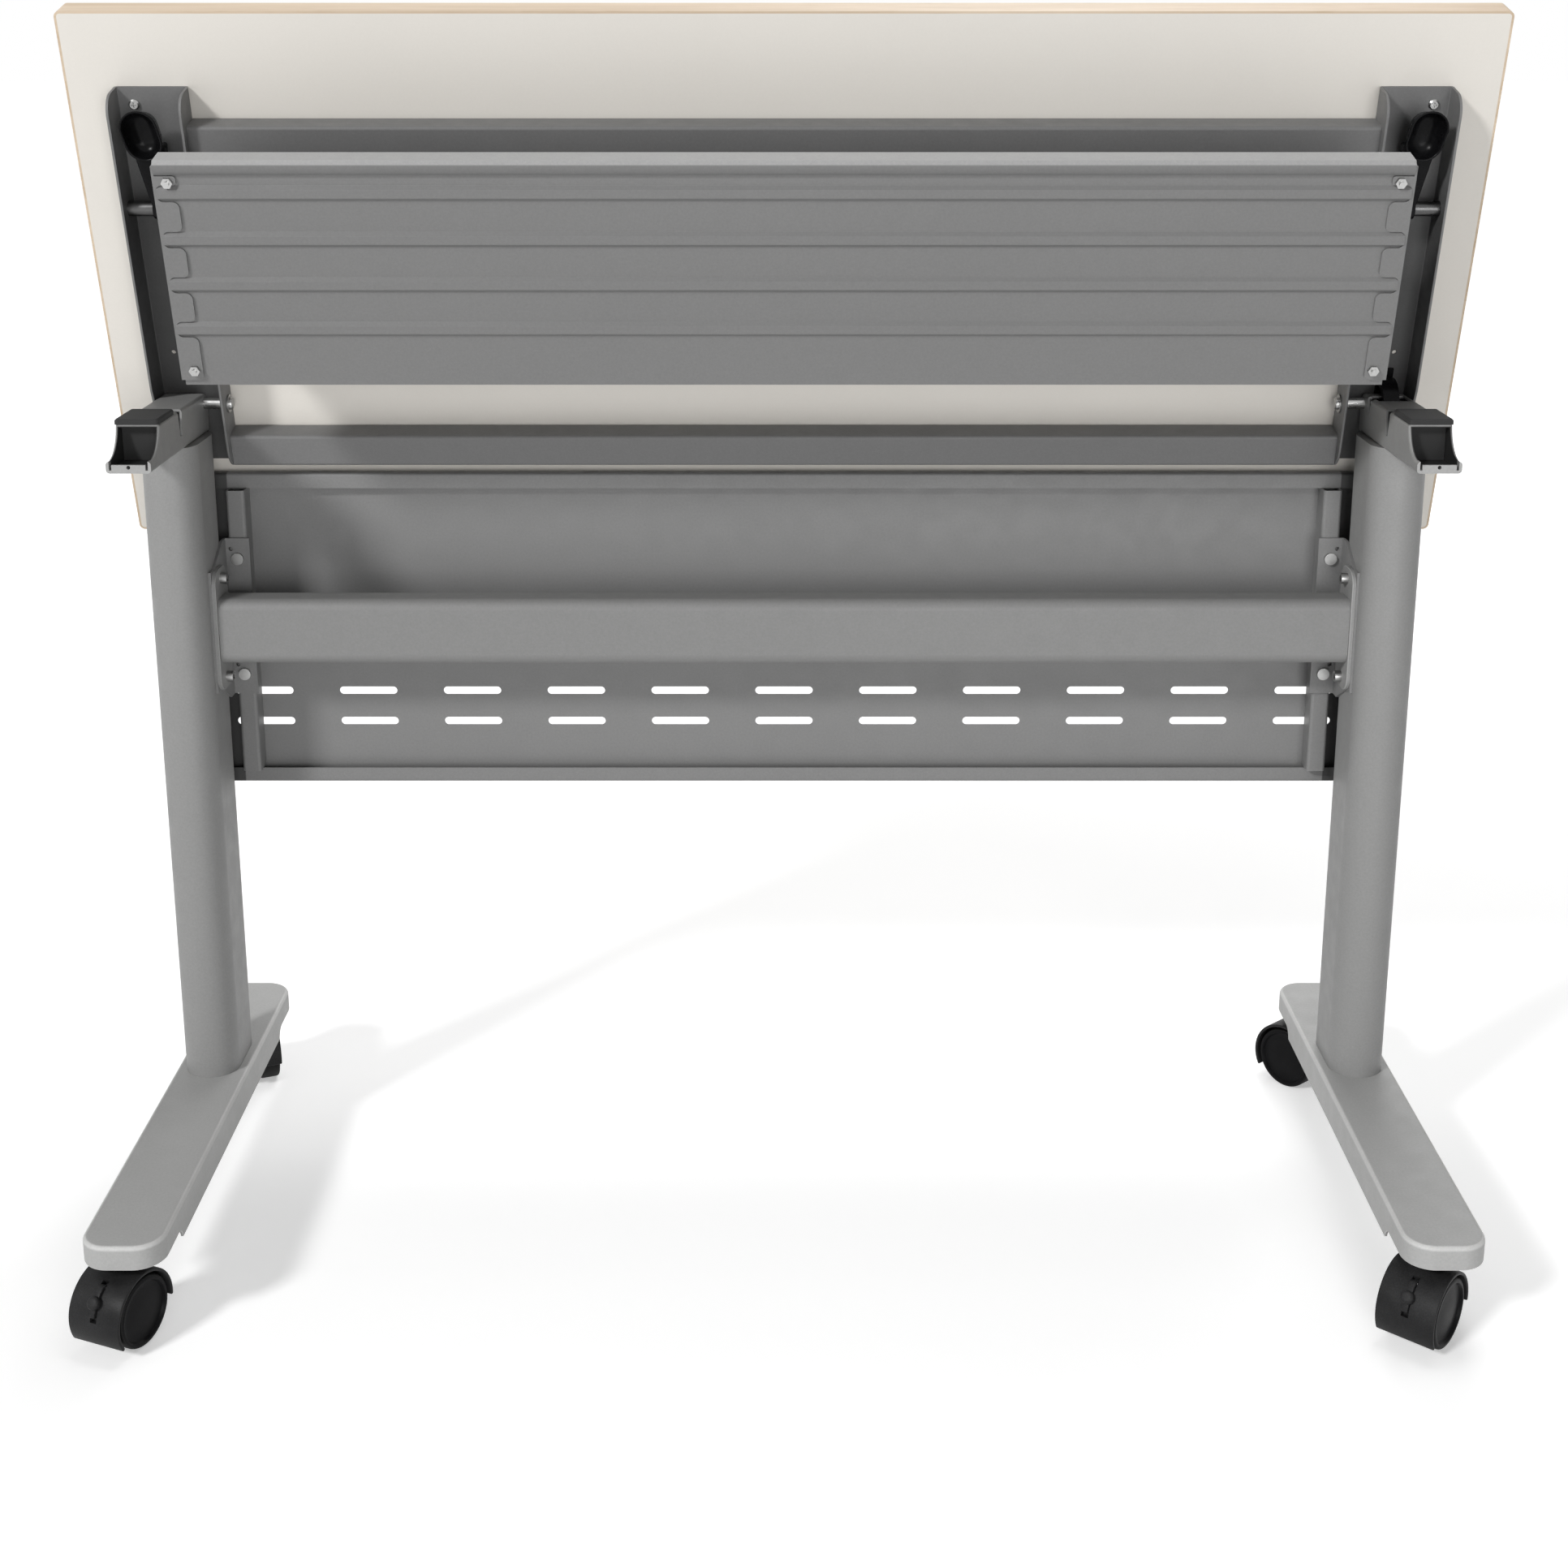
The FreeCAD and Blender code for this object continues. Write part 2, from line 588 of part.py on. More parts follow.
def panel_bolts():
    solids = []
    face = BRACKET_BACK - SHEET
    nut_face = BRACKET_BACK + RAIL_SHEET
    for z in panel_bolt_heights():
        bolt = rod_y(face - NUT_THICK, face, STIFFENER_X, z, PANEL_BOLT_HEAD)
        bolt = bolt.fuse(rod_y(face - THROUGH, nut_face + 2 * NUT_THICK, STIFFENER_X, z, SCREW_RADIUS))
        nut = hexagon_nut(NUT_RADIUS, NUT_THICK, FreeCAD.Vector(STIFFENER_X, nut_face, z), Y_AXIS)
        nut = nut.cut(rod_y(face, nut_face + 2 * NUT_THICK, STIFFENER_X, z, SCREW_RADIUS))
        solids += [bolt.removeSplitter(), mirrored(bolt.removeSplitter()), nut, mirrored(nut)]
    return Part.makeCompound(solids)


# Modesty panel: a pan with returned lips and two rows of vents
def modesty_panel():
    t = PANEL_SHEET

    def pan(inset):
        return rounded_bar(inset - PANEL_HALF, PANEL_HALF - inset, PANEL_FRONT + inset, PANEL_BACK - inset,
                           PANEL_BOTTOM + inset, PANEL_TOP - inset, BEND - inset, X_AXIS)
    body = pan(0).cut(pan(t))
    body = body.cut(box(t - PANEL_HALF, PANEL_HALF - t, PANEL_FRONT - THROUGH, PANEL_FRONT + 2 * t,
                        PANEL_BOTTOM + PANEL_LIP, PANEL_TOP - PANEL_LIP))
    pitch = 2 * (PANEL_HALF - VENT_END) / (VENT_COUNT - 1)
    wide = VENT_LENGTH / 2
    high = VENT_WIDTH / 2
    holes = []
    for above in VENT_ROWS:
        z = PANEL_BOTTOM + above
        for i in range(VENT_COUNT):
            x = (i - (VENT_COUNT - 1) / 2) * pitch
            holes.append(rounded_bar(x - wide, x + wide, PANEL_BACK - 2 * t, PANEL_BACK + THROUGH,
                                     z - high, z + high, high - 0.01, Y_AXIS))
    return body.cut(Part.makeCompound(holes))


def stiffener():
    low = PANEL_BOTTOM + PANEL_LIP + FREE
    high = PANEL_TOP - PANEL_LIP - FREE
    back = PANEL_BACK - PANEL_SHEET
    half = STIFFENER_WIDTH / 2

    def block(inset, end):
        bar = box(STIFFENER_X - half + inset, STIFFENER_X + half - inset, BRACKET_BACK + inset, back + end,
                  low - end, high + end)
        bends = [e for e in bar.Edges if runs_along(e, Z_AXIS) and e.CenterOfMass.y < back - 1]
        return bar.makeFillet(BEND - inset, bends)
    body = block(0, 0).cut(block(RAIL_SHEET, THROUGH))
    for z in panel_bolt_heights():
        body = body.cut(rod_y(BRACKET_BACK - THROUGH, BRACKET_BACK + RAIL_SHEET + THROUGH, STIFFENER_X, z,
                              SCREW_RADIUS + BOLT_GAP))
    return body


# Board, its edging and the screws that hold the arms
def board_block(inset, corner):
    half = TOP_WIDTH / 2 - inset
    return rounded_bar(-half, half, HINGE_Y - FRONT_REACH + inset, HINGE_Y + REAR_REACH - inset,
                       UNDERSIDE, DESK_HEIGHT, corner, Z_AXIS)


def tabletop():
    board = board_block(EDGE_BAND, TOP_CORNER - EDGE_BAND)
    for x, reach in arm_screw_places():
        for side in (-1, 1):
            hole = rod_z(UNDERSIDE - THROUGH, UNDERSIDE + SCREW_GRIP, side * x, HINGE_Y - reach, SCREW_RADIUS)
            board = board.cut(hole)
    return board


def edge_band():
    return board_block(0, TOP_CORNER).cut(board_block(EDGE_BAND, TOP_CORNER - EDGE_BAND))


def arm_screw_places():
    return ((ARM_OUTER_X - ARM_SCREW_SIDE, ARM_FRONT - ARM_SCREW_END),
            (ARM_INNER_X + ARM_SCREW_SIDE, ARM_FRONT - ARM_SCREW_SECOND),
            (ARM_INNER_X + ARM_WIDTH / 2, ARM_SCREW_END - ARM_REAR))


def arm_screws():
    solids = []
    low = UNDERSIDE - ARM_SHEET
    long = SCREW_HEAD_RADIUS / 2
    half = SCREW_RADIUS / 4
    for x, reach in arm_screw_places():
        y = HINGE_Y - reach
        screw = screw_up(x, y, low, UNDERSIDE + SCREW_GRIP)
        for wide, deep in ((long, half), (half, long)):
            screw = screw.cut(box(x - wide, x + wide, y - deep, y + deep, low - SCREW_HEAD_THICK - THROUGH,
                                  low - SCREW_HEAD_THICK / 2))
        solids += [raised(screw), raised(mirrored(screw))]
    return Part.makeCompound(solids)


# Arm: a folded channel with two flanges; the outer one ends in a round ear at the hinge
def arm():
    high = ARM_HEIGHT
    middle = ARM_INNER_X + ARM_WIDTH / 2
    half_turn = math.sqrt(0.5)
    slope = ARM_TIP_ROUND * (1 - half_turn)
    tip = [(ARM_FRONT - ARM_TIP_ROUND, high),
           (ARM_FRONT - slope, high - slope, ARM_FRONT, high - ARM_TIP_ROUND), (ARM_FRONT, 0)]
    rear = -ARM_REAR
    inner = [(rear, 0), (rear, high / 4), (rear + high / 5, 0.76 * high, rear + 0.76 * high, high)] + tip
    ear = HINGE_DROP
    outer = [(-ear, 0), (-ear, ear), (-ear * half_turn, ear * (1 + half_turn), 0, 2 * ear),
             (ear + SPACER_RADIUS, high)] + tip
    body = channel(ARM_INNER_X, ARM_OUTER_X, HINGE_Y - ARM_FRONT, HINGE_Y + ARM_REAR, UNDERSIDE, high,
                   ARM_SHEET)
    web = box_under(ARM_INNER_X, ARM_OUTER_X, -ARM_REAR, ARM_FRONT, 0, ARM_SHEET)
    kept = plate_under(inner, ARM_INNER_X, middle).fuse(plate_under(outer, middle, ARM_OUTER_X)).fuse(web)
    body = body.common(kept).removeSplitter()
    across = (ARM_INNER_X - THROUGH, ARM_OUTER_X + THROUGH)
    body = body.cut(rod_x(*across, HINGE_Y, HINGE_Z, HINGE_RADIUS + RUNNING))
    body = body.cut(rod_x(*across, HINGE_Y - LEVER_REACH, UNDERSIDE - LEVER_DROP, LATCH_PIN_RADIUS))
    holes = [(x, reach, SCREW_RADIUS + BOLT_GAP) for x, reach in arm_screw_places()]
    holes.append((ARM_INNER_X + ARM_HOLE_IN, ARM_HOLE_REACH, SCREW_RADIUS))
    for x, reach, radius in holes:
        low = UNDERSIDE - ARM_SHEET - THROUGH
        body = body.cut(rod_z(low, UNDERSIDE + THROUGH, x, HINGE_Y - reach, radius))
    return body


# Rail: a rectangular tube across the desk
def rail(reach):
    front = HINGE_Y - reach

    def bar(inset):
        return rounded_bar(-ARM_INNER_X, ARM_INNER_X, front + inset, front + RAIL_WIDTH - inset,
                           UNDERSIDE - RAIL_HEIGHT + inset, UNDERSIDE - inset, BEND - inset, X_AXIS)
    return bar(0).cut(bar(RAIL_SHEET))


# Upright stay: an arc round the hinge that swings through the right head's window
def upright_stay():
    def at(radius, degrees):
        a = math.radians(degrees)
        return (HINGE_Y - radius * math.cos(a), HINGE_Z + radius * math.sin(a))
    high = STAY_SWEEP
    middle = 0.0
    path = [at(STAY_OUTER, -STAY_SWEEP), at(STAY_OUTER, middle) + at(STAY_OUTER, high), at(STAY_INNER, high),
            at(STAY_INNER, middle) + at(STAY_INNER, -STAY_SWEEP)]
    x0 = COLUMN_X - STAY_WIDTH / 2
    x1 = COLUMN_X + STAY_WIDTH / 2
    arc = plate_yz(path, x0, x1)
    arc = arc.cut(box_under(x0 - THROUGH, x1 + THROUGH, -STAY_OUTER, 2 * STAY_OUTER, ARM_SHEET, -BOARD_THICK))
    base = box_under(x0, x1, STAY_BASE, STAY_OUTER + 2 * STAY_BASE, ARM_SHEET, ARM_SHEET + STAY_BASE)
    return arc.fuse(base).removeSplitter()


# Book shelf: one sheet with pressed beads, a rolled front lip and a raised back edge
def bead_reaches():
    return [BEAD_FIRST - i * BEAD_PITCH for i in range(BEAD_COUNT)]


def book_shelf():
    flat = SHELF_DROP - SHELF_SHEET
    roll = SHELF_FRONT - SHELF_ROLL_WIDTH
    line = [(SHELF_FRONT, flat - SHELF_LIP), (SHELF_FRONT, flat + SHELF_ROLL / 2),
            (SHELF_FRONT - SHELF_ROLL / 2, flat + SHELF_ROLL), (roll + SHELF_ROLL, flat + SHELF_ROLL),
            (roll + SHELF_ROLL / 5, flat + SHELF_ROLL / 2), (roll, flat)]
    wide = BEAD_WIDTH / 2
    for reach in bead_reaches():
        line += [(reach + wide, flat), (reach + wide / 2, flat + BEAD_DEPTH),
                 (reach - wide / 2, flat + BEAD_DEPTH), (reach - wide, flat)]
    line += [(SHELF_REAR, flat), (SHELF_REAR, flat - SHELF_LIP)]
    half = SHELF_PLATE_IN - FREE
    body = plate_under(sheet_outline(line, SHELF_SHEET), -half, half)
    low = UNDERSIDE - SHELF_DROP - 2 * SHELF_ROLL
    for x, reach in shelf_bolt_places():
        for side in (-1, 1):
            hole = rod_z(low, low + 4 * SHELF_ROLL, side * x, HINGE_Y - reach, SCREW_RADIUS + BOLT_GAP)
            body = body.cut(hole)
    corners = tab_corners(FREE)
    return body.cut(corners).cut(mirrored(corners))


def shelf_bolt_places():
    x = SHELF_PLATE_IN - SHELF_BOLT_INSET
    return ((x, SHELF_FRONT - SHELF_BOLT_FRONT), (x, SHELF_REAR + SHELF_BOLT_REAR))


# Tabs lie under the shelf, one in each flat between the beads
def tab_spans():
    gap = TAB_GAP
    beads = bead_reaches()
    spans = [(beads[0] + gap, SHELF_FRONT - SHELF_ROLL_WIDTH - 1)]
    spans += [(low + gap, high - gap) for high, low in zip(beads, beads[1:])]
    spans.append((SHELF_REAR + PLATE_INSET, beads[-1] - gap))
    return spans


# The rounded corners between the tabs and their plate, beside each bead
def tab_corners(gap):
    solids = []
    low = SHELF_DROP + ARM_SHEET
    end = SHELF_PLATE_IN - gap
    for reach in bead_reaches():
        strip = box_under(SHELF_PLATE_IN - SCALLOP_ROUND, SHELF_PLATE_IN, reach - TAB_GAP, reach + TAB_GAP,
                          SHELF_DROP, low)
        notch = box_under(end - 2 * SCALLOP_ROUND, end, reach - TAB_GAP + gap, reach + TAB_GAP - gap,
                          SHELF_DROP - THROUGH, low + THROUGH)
        far = [e for e in notch.Edges if runs_along(e, Z_AXIS) and e.CenterOfMass.x > end - 0.1]
        solids.append(strip.cut(notch.makeFillet(SCALLOP_ROUND, far)))
    return Part.makeCompound(solids)


def shelf_plate():
    low = SHELF_DROP + ARM_SHEET
    nose = SHELF_FRONT - PLATE_INSET
    tail = SHELF_REAR + PLATE_INSET
    top = ARM_HEIGHT - SPACER_RADIUS
    rise = SHELF_DROP - PLATE_RISE
    waist = 0.67 * SHELF_DROP
    side = [(PLATE_NECK_REAR, 6), (PLATE_NECK_FRONT, 6), (PLATE_NECK_FRONT, top),
            (PLATE_NECK_FRONT + PLATE_FLARE, waist, nose, rise), (nose, low), (tail, low), (tail, rise),
            (PLATE_NECK_REAR - PLATE_FLARE / 2, waist, PLATE_NECK_REAR, top)]
    body = plate_under(side, SHELF_PLATE_IN, ARM_INNER_X)
    for near, far in tab_spans():
        tab = box_under(SHELF_PLATE_IN - TAB_LENGTH, ARM_INNER_X, near, far, SHELF_DROP, low)
        inner = [e for e in tab.Edges if runs_along(e, Z_AXIS) and e.CenterOfMass.x < SHELF_PLATE_IN - 1]
        body = body.fuse(tab.makeFillet(min(TAB_ROUND, (far - near) / 3), inner))
    body = body.multiFuse(tab_corners(0).Solids).removeSplitter()
    for x, reach in shelf_bolt_places():
        hole = rod_z(UNDERSIDE - low - THROUGH, UNDERSIDE - SHELF_DROP + THROUGH, x, HINGE_Y - reach,
                     SCREW_RADIUS + BOLT_GAP)
        body = body.cut(hole)
    return body


# Shelf bolts: the head lies on the shelf, the nut under the tab
def shelf_bolts():
    solids = []
    face = UNDERSIDE - SHELF_DROP - ARM_SHEET
    back = UNDERSIDE - SHELF_DROP + SHELF_SHEET
    for x, reach in shelf_bolt_places():
        y = HINGE_Y - reach
        shank = rod_z(face - NUT_THICK - SCREW_RADIUS, back + THROUGH, x, y, SCREW_RADIUS)
        knob = rod_z(back, back + SCREW_HEAD_THICK, x, y, SCREW_HEAD_RADIUS)
        rim = [e for e in knob.Edges if e.Closed and e.CenterOfMass.z > back + 1]
        bolt = knob.makeChamfer(SCREW_HEAD_BEVEL, rim).fuse(shank).removeSplitter()
        nut = hexagon_nut(NUT_RADIUS, NUT_THICK, FreeCAD.Vector(x, y, face - NUT_THICK), Z_AXIS)
        for piece in (bolt, nut.cut(shank)):
            solids += [raised(piece), raised(mirrored(piece))]
    return Part.makeCompound(solids)


# Latch pin with the sleeve that keeps the lever off the outer flange
def latch_pin():
    y = HINGE_Y - LEVER_REACH
    z = UNDERSIDE - LEVER_DROP
    pin = rod_x(ARM_INNER_X, ARM_OUTER_X, y, z, LATCH_PIN_RADIUS)
    return pin.fuse(rod_x(HUB_OUT + FREE, ARM_OUTER_X - ARM_SHEET, y, z, SPACER_RADIUS)).removeSplitter()


# Release lever: dished paddle, hub, and the arm that carries the latch tooth
def release_lever():
    y = HINGE_Y - LEVER_REACH
    z = UNDERSIDE - LEVER_DROP
    face = LEVER_DROP + PADDLE_STAND
    back = face - PADDLE_HEIGHT
    middle = FreeCAD.Vector(PADDLE_X, HINGE_Y - PADDLE_REACH, UNDERSIDE - face)
    paddle = stretched(Part.makeCylinder(1.0, PADDLE_HEIGHT), PADDLE_WIDTH / 2, PADDLE_LENGTH / 2, 1, middle)
    dish = stretched(Part.makeSphere(1.0), PADDLE_WIDTH / 2 - PADDLE_RIM, PADDLE_LENGTH / 2 - PADDLE_RIM,
                     DISH_DEPTH, middle)
    hub_in = LEVER_ARM_X - LEVER_ARM_WIDTH / 2
    hub = rod_x(hub_in, HUB_OUT, y, z, LEVER_HUB_RADIUS)
    neck_end = PADDLE_REACH - PADDLE_LENGTH / 4
    neck = plate_under([(LEVER_REACH, LEVER_DROP - 6), (LEVER_REACH + 2, LEVER_DROP + 8),
                        (neck_end, face - 6), (neck_end + 2, back)], HUB_OUT - NECK_WIDTH, HUB_OUT)
    half = LEVER_ARM_WIDTH / 3
    arm_plate = plate_under([(LEVER_REACH, LEVER_DROP - 2 * half), (TOOTH_REACH, TOOTH_DROP - half),
                             (TOOTH_REACH - 5, TOOTH_DROP), (TOOTH_REACH, TOOTH_DROP + half),
                             (LEVER_REACH, LEVER_DROP + 2 * half)], hub_in, hub_in + LEVER_ARM_WIDTH)
    body = paddle.fuse(neck).cut(dish).multiFuse([hub, arm_plate]).removeSplitter()
    bore = rod_x(hub_in - THROUGH, HUB_OUT + THROUGH, y, z, LATCH_PIN_RADIUS + RUNNING)
    return body.cut(bore).cut(tooth_rod())


def tooth_rod():
    return rod_x(LEVER_ARM_X - LEVER_ARM_WIDTH / 4, HEAD_IN + TOOTH_PAST, HINGE_Y - TOOTH_REACH,
                 UNDERSIDE - TOOTH_DROP, TOOTH_RADIUS)


# Caster pieces are drawn with the stem on the Z axis and the axle behind it
def placed(shape, side, end, turn):
    moved = shape.copy()
    moved.rotate(FreeCAD.Vector(0, 0, 0), Z_AXIS, turn)
    moved.translate(caster_place(side, end))
    return moved


def round_axle(radius, degrees):
    a = math.radians(degrees)
    return (CASTER_TRAIL + radius * math.cos(a), WHEEL_RADIUS + radius * math.sin(a))


def sector(inner, outer, low, high, half):
    middle = (low + high) / 2
    path = [round_axle(outer, low), round_axle(outer, middle) + round_axle(outer, high),
            round_axle(inner, high), round_axle(inner, middle) + round_axle(inner, low)]
    return plate_yz(path, -half, half)


# Hood: a curved cover on a middle web, with a boss for the stem
def caster_hood(braked):
    y, z = CASTER_TRAIL, WHEEL_RADIUS
    far = 2 * WHEEL_RADIUS
    cover = rod_x(-HOOD_HALF, HOOD_HALF, y, z, HOOD_OUTER)
    cover = cover.cut(rod_x(-HOOD_HALF, HOOD_HALF, y, z, HOOD_INNER))
    cover = cover.cut(box(-far, far, y, y + far, -far, HOOD_LOW_BEHIND))
    cover = cover.cut(box(-far, far, y - far, y, -far, HOOD_LOW_AHEAD))
    web = rod_x(-WEB_HALF, WEB_HALF, y, z, HOOD_INNER + 1)
    web = web.cut(box(-far, far, y - far, y + far, -far, WEB_LOW))
    boss = rod_z(z, SWIVEL_TOP, 0, 0, STEM_BOSS_RADIUS).cut(rod_x(-far, far, y, z, HOOD_INNER + 1))
    body = cover.multiFuse([web, boss]).removeSplitter()
    body = body.cut(rod_z(STEM_BOTTOM, SWIVEL_TOP + THROUGH, 0, 0, STEM_RADIUS + RUNNING))
    body = body.cut(rod_x(-far, far, y, z, AXLE_RADIUS))
    if braked:
        body = body.cut(sector(WHEEL_RADIUS + 0.6, HOOD_OUTER + 8, BRAKE_LOW - 8, BRAKE_HIGH + 5,
                               BRAKE_WIDTH / 2 + 2 * FREE))
        body = body.cut(brake_pin())
    return body


def brake_axis():
    return round_axle((HOOD_INNER + HOOD_OUTER) / 2, BRAKE_HIGH - 4)


def brake_pin():
    reach = BRAKE_WIDTH / 2 + 3
    return rod_x(-reach, reach, *brake_axis(), BRAKE_PIN_RADIUS)


# Brake pedal: a curved tongue in the hood's slot with a round thumb pad outside it
def brake_pedal():
    half = BRAKE_WIDTH / 2
    tongue = sector(HOOD_INNER + 1.9, HOOD_OUTER + 2.6, BRAKE_LOW, BRAKE_HIGH - 5, half)
    knuckle = rod_x(-half, half, *brake_axis(), 2.3 * BRAKE_PIN_RADIUS)
    foot_y, foot_z = round_axle(HOOD_OUTER + 2, BRAKE_THUMB)
    a = math.radians(BRAKE_THUMB)
    outward = FreeCAD.Vector(0, math.cos(a), math.sin(a))
    thumb = Part.makeCylinder(BRAKE_THUMB_RADIUS, 4.5, FreeCAD.Vector(0, foot_y, foot_z), outward)
    crown = [e for e in thumb.Edges if e.Closed and e.CenterOfMass.y > foot_y + 2]
    thumb = thumb.makeChamfer(2.0, crown)
    body = tongue.multiFuse([knuckle, thumb]).removeSplitter()
    return body.cut(rod_x(-2 * half, 2 * half, *brake_axis(), BRAKE_PIN_RADIUS + RUNNING))


def caster_axle():
    half = WHEEL_OUT - WHEEL_FACE - FREE
    return rod_x(-half, half, CASTER_TRAIL, WHEEL_RADIUS, AXLE_RADIUS)


# Wheel: rounded tread and a closed, dished outer face inside a raised rim
def caster_wheel(side):
    x0, x1 = WHEEL_IN, WHEEL_OUT
    bore = AXLE_RADIUS + RUNNING
    r = WHEEL_RADIUS
    profile = [(x0, bore), (x0, r - 2), (x0 + 2, r), (x1 - 2, r), (x1, r - 2), (x1, r - 4.2),
               (x1 - 2.4, r - 5.4), (x1 - 1.4, r / 3), (x1 - 1.4, 0), (x1 - WHEEL_FACE, 0),
               (x1 - WHEEL_FACE, bore)]
    points = [FreeCAD.Vector(x, CASTER_TRAIL, WHEEL_RADIUS + rad) for x, rad in profile + profile[:1]]
    face = Part.Face(Part.makePolygon(points))
    wheel = face.revolve(FreeCAD.Vector(0, CASTER_TRAIL, WHEEL_RADIUS), X_AXIS, 360)
    return wheel if side > 0 else mirrored(wheel)


# Everything by node name
def all_nodes():
    nodes = {}
    pairs = {"foot": foot(), "column": column(), "pad": pad(), "pivot_shaft": pivot_shaft(),
             "end_plate": end_plate(), "panel_bracket": panel_bracket(), "stiffener": stiffener(),
             "arm": raised(arm()), "shelf_plate": raised(shelf_plate()), "latch_pin": raised(latch_pin()),
             "release_lever": raised(release_lever()), "latch_tooth": raised(tooth_rod())}
    for name, shape in pairs.items():
        nodes["right_" + name] = shape
        nodes["left_" + name] = mirrored(shape)
    nodes["right_head"] = head(True)
    nodes["left_head"] = mirrored(head(False))
    nodes["cross_beam"] = beam()
    nodes["modesty_panel"] = modesty_panel()
    nodes["beam_bolts"] = beam_bolts()
    nodes["panel_bolts"] = panel_bolts()
    nodes["caster_sockets"] = caster_sockets()
    nodes["caster_stems"] = caster_stems()
    nodes["tabletop"] = raised(tabletop())
    nodes["edge_band"] = raised(edge_band())
    nodes["front_rail"] = raised(rail(FRONT_RAIL_REACH))
    nodes["rear_rail"] = raised(rail(REAR_RAIL_REACH))
    nodes["upright_stay"] = raised(upright_stay())
    nodes["book_shelf"] = raised(book_shelf())
    nodes["arm_screws"] = arm_screws()
    nodes["shelf_bolts"] = shelf_bolts()
    for name, side, end, turn, braked in CASTERS:
        parts = {"hood": caster_hood(braked), "axle": caster_axle(),
                 "wheel_a": caster_wheel(-1), "wheel_b": caster_wheel(1)}
        if braked:
            parts["brake_pedal"] = brake_pedal()
            parts["brake_pin"] = brake_pin()
        for part, shape in parts.items():
            nodes[name + "_" + part] = placed(shape, side, end, turn)
    return nodes


os.makedirs("parts", exist_ok=True)
for node, solid in all_nodes().items():
    solid.exportStep("parts/" + node + ".step")
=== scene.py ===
"""Dressed scene of the flip-top desk: finishes, detailed pieces, floor, light and camera."""
import json
import math

import bmesh
import bpy
from bpy.props import FloatProperty, FloatVectorProperty, PointerProperty
from mathutils import Matrix, Vector


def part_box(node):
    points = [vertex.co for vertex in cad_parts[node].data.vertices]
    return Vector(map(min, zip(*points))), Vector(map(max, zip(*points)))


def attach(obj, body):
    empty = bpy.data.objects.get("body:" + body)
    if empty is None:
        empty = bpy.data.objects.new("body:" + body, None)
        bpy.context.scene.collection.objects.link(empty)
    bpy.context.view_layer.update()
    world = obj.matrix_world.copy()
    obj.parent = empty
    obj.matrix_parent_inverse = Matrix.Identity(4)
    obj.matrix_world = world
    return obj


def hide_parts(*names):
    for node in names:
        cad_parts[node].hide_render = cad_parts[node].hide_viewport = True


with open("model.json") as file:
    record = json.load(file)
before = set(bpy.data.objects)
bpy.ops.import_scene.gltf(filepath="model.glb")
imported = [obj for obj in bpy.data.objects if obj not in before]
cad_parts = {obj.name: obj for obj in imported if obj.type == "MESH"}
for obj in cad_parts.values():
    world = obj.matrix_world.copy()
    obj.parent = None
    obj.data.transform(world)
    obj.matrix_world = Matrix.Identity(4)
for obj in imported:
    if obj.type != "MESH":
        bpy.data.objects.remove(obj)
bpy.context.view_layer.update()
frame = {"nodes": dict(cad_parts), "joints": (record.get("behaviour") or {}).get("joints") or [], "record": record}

bl_info = {
    "name": "Flip-top desk",
    "version": (1, 0, 0),
    "blender": (4, 5, 0),
    "location": "3D View > Sidebar > Desk",
    "description": "Finishes and detailed pieces of a flip-top desk on casters",
    "category": "Object",
}

RECORD = frame["record"]
JOINTS = {joint["name"]: joint for joint in frame["joints"]}
BODY_OF = {node: body for body, nodes in RECORD["behaviour"]["bodies"].items() for node in nodes}
SLOT_OF = {part["node"]: part["material_slot"] for part in RECORD["subparts"]}
HINGE = Vector(JOINTS["top_flip"]["pos_m"])
RAISED = math.radians(JOINTS["top_flip"]["range_deg"][1])
SIDES = (("left", -1), ("right", 1))
# Each caster, and whether it has a brake
CORNERS = (("front_left", True), ("front_right", True), ("rear_left", False), ("rear_right", False))
# The finish of each material slot, and the nodes that have one of their own
FINISH_OF_SLOT = {
    "board": "melamine_board",
    "edging": "maple_edging",
    "arm_grey": "arm_coat",
    "shelf_grey": "shelf_coat",
    "panel_grey": "panel_coat",
    "frame_grey": "frame_coat",
    "zinc_steel": "zinc_plate",
    "lever_black": "gloss_moulding",
    "pad_rubber": "pad_rubber",
    "caster_black": "hood_moulding",
    "wheel_rubber": "wheel_tread",
}
# The beam's and feet's own finishes are shaded and lit copies of the grey coat; the others add painted shade or
# highlights in places.
OWN_FINISH = {
    "modesty_panel": "panel_sheet",
    "cross_beam": "beam_coat",
    "left_foot": "foot_coat",
    "right_foot": "foot_coat",
    "left_head": "head_coat",
    "right_head": "head_coat",
    "left_arm": "channel_coat",
    "right_arm": "channel_coat",
    "book_shelf": "lipped_coat",
}
COATED_SLOTS = ("arm_grey", "shelf_grey", "panel_grey", "frame_grey")


# Sizes and colours a user would change

def colour(name, description, default):
    return FloatVectorProperty(name=name, description=description, default=default, size=3,
                               min=0.0, max=1.0, subtype="COLOR")


def length(name, description, default):
    return FloatProperty(name=name, description=description, default=default, min=0.0,
                         precision=4, unit="LENGTH", subtype="DISTANCE")


def angle(name, description, degrees):
    return FloatProperty(name=name, description=description, default=math.radians(degrees),
                         subtype="ANGLE")


def power(name, description, default):
    return FloatProperty(name=name, description=description, default=default, unit="POWER")


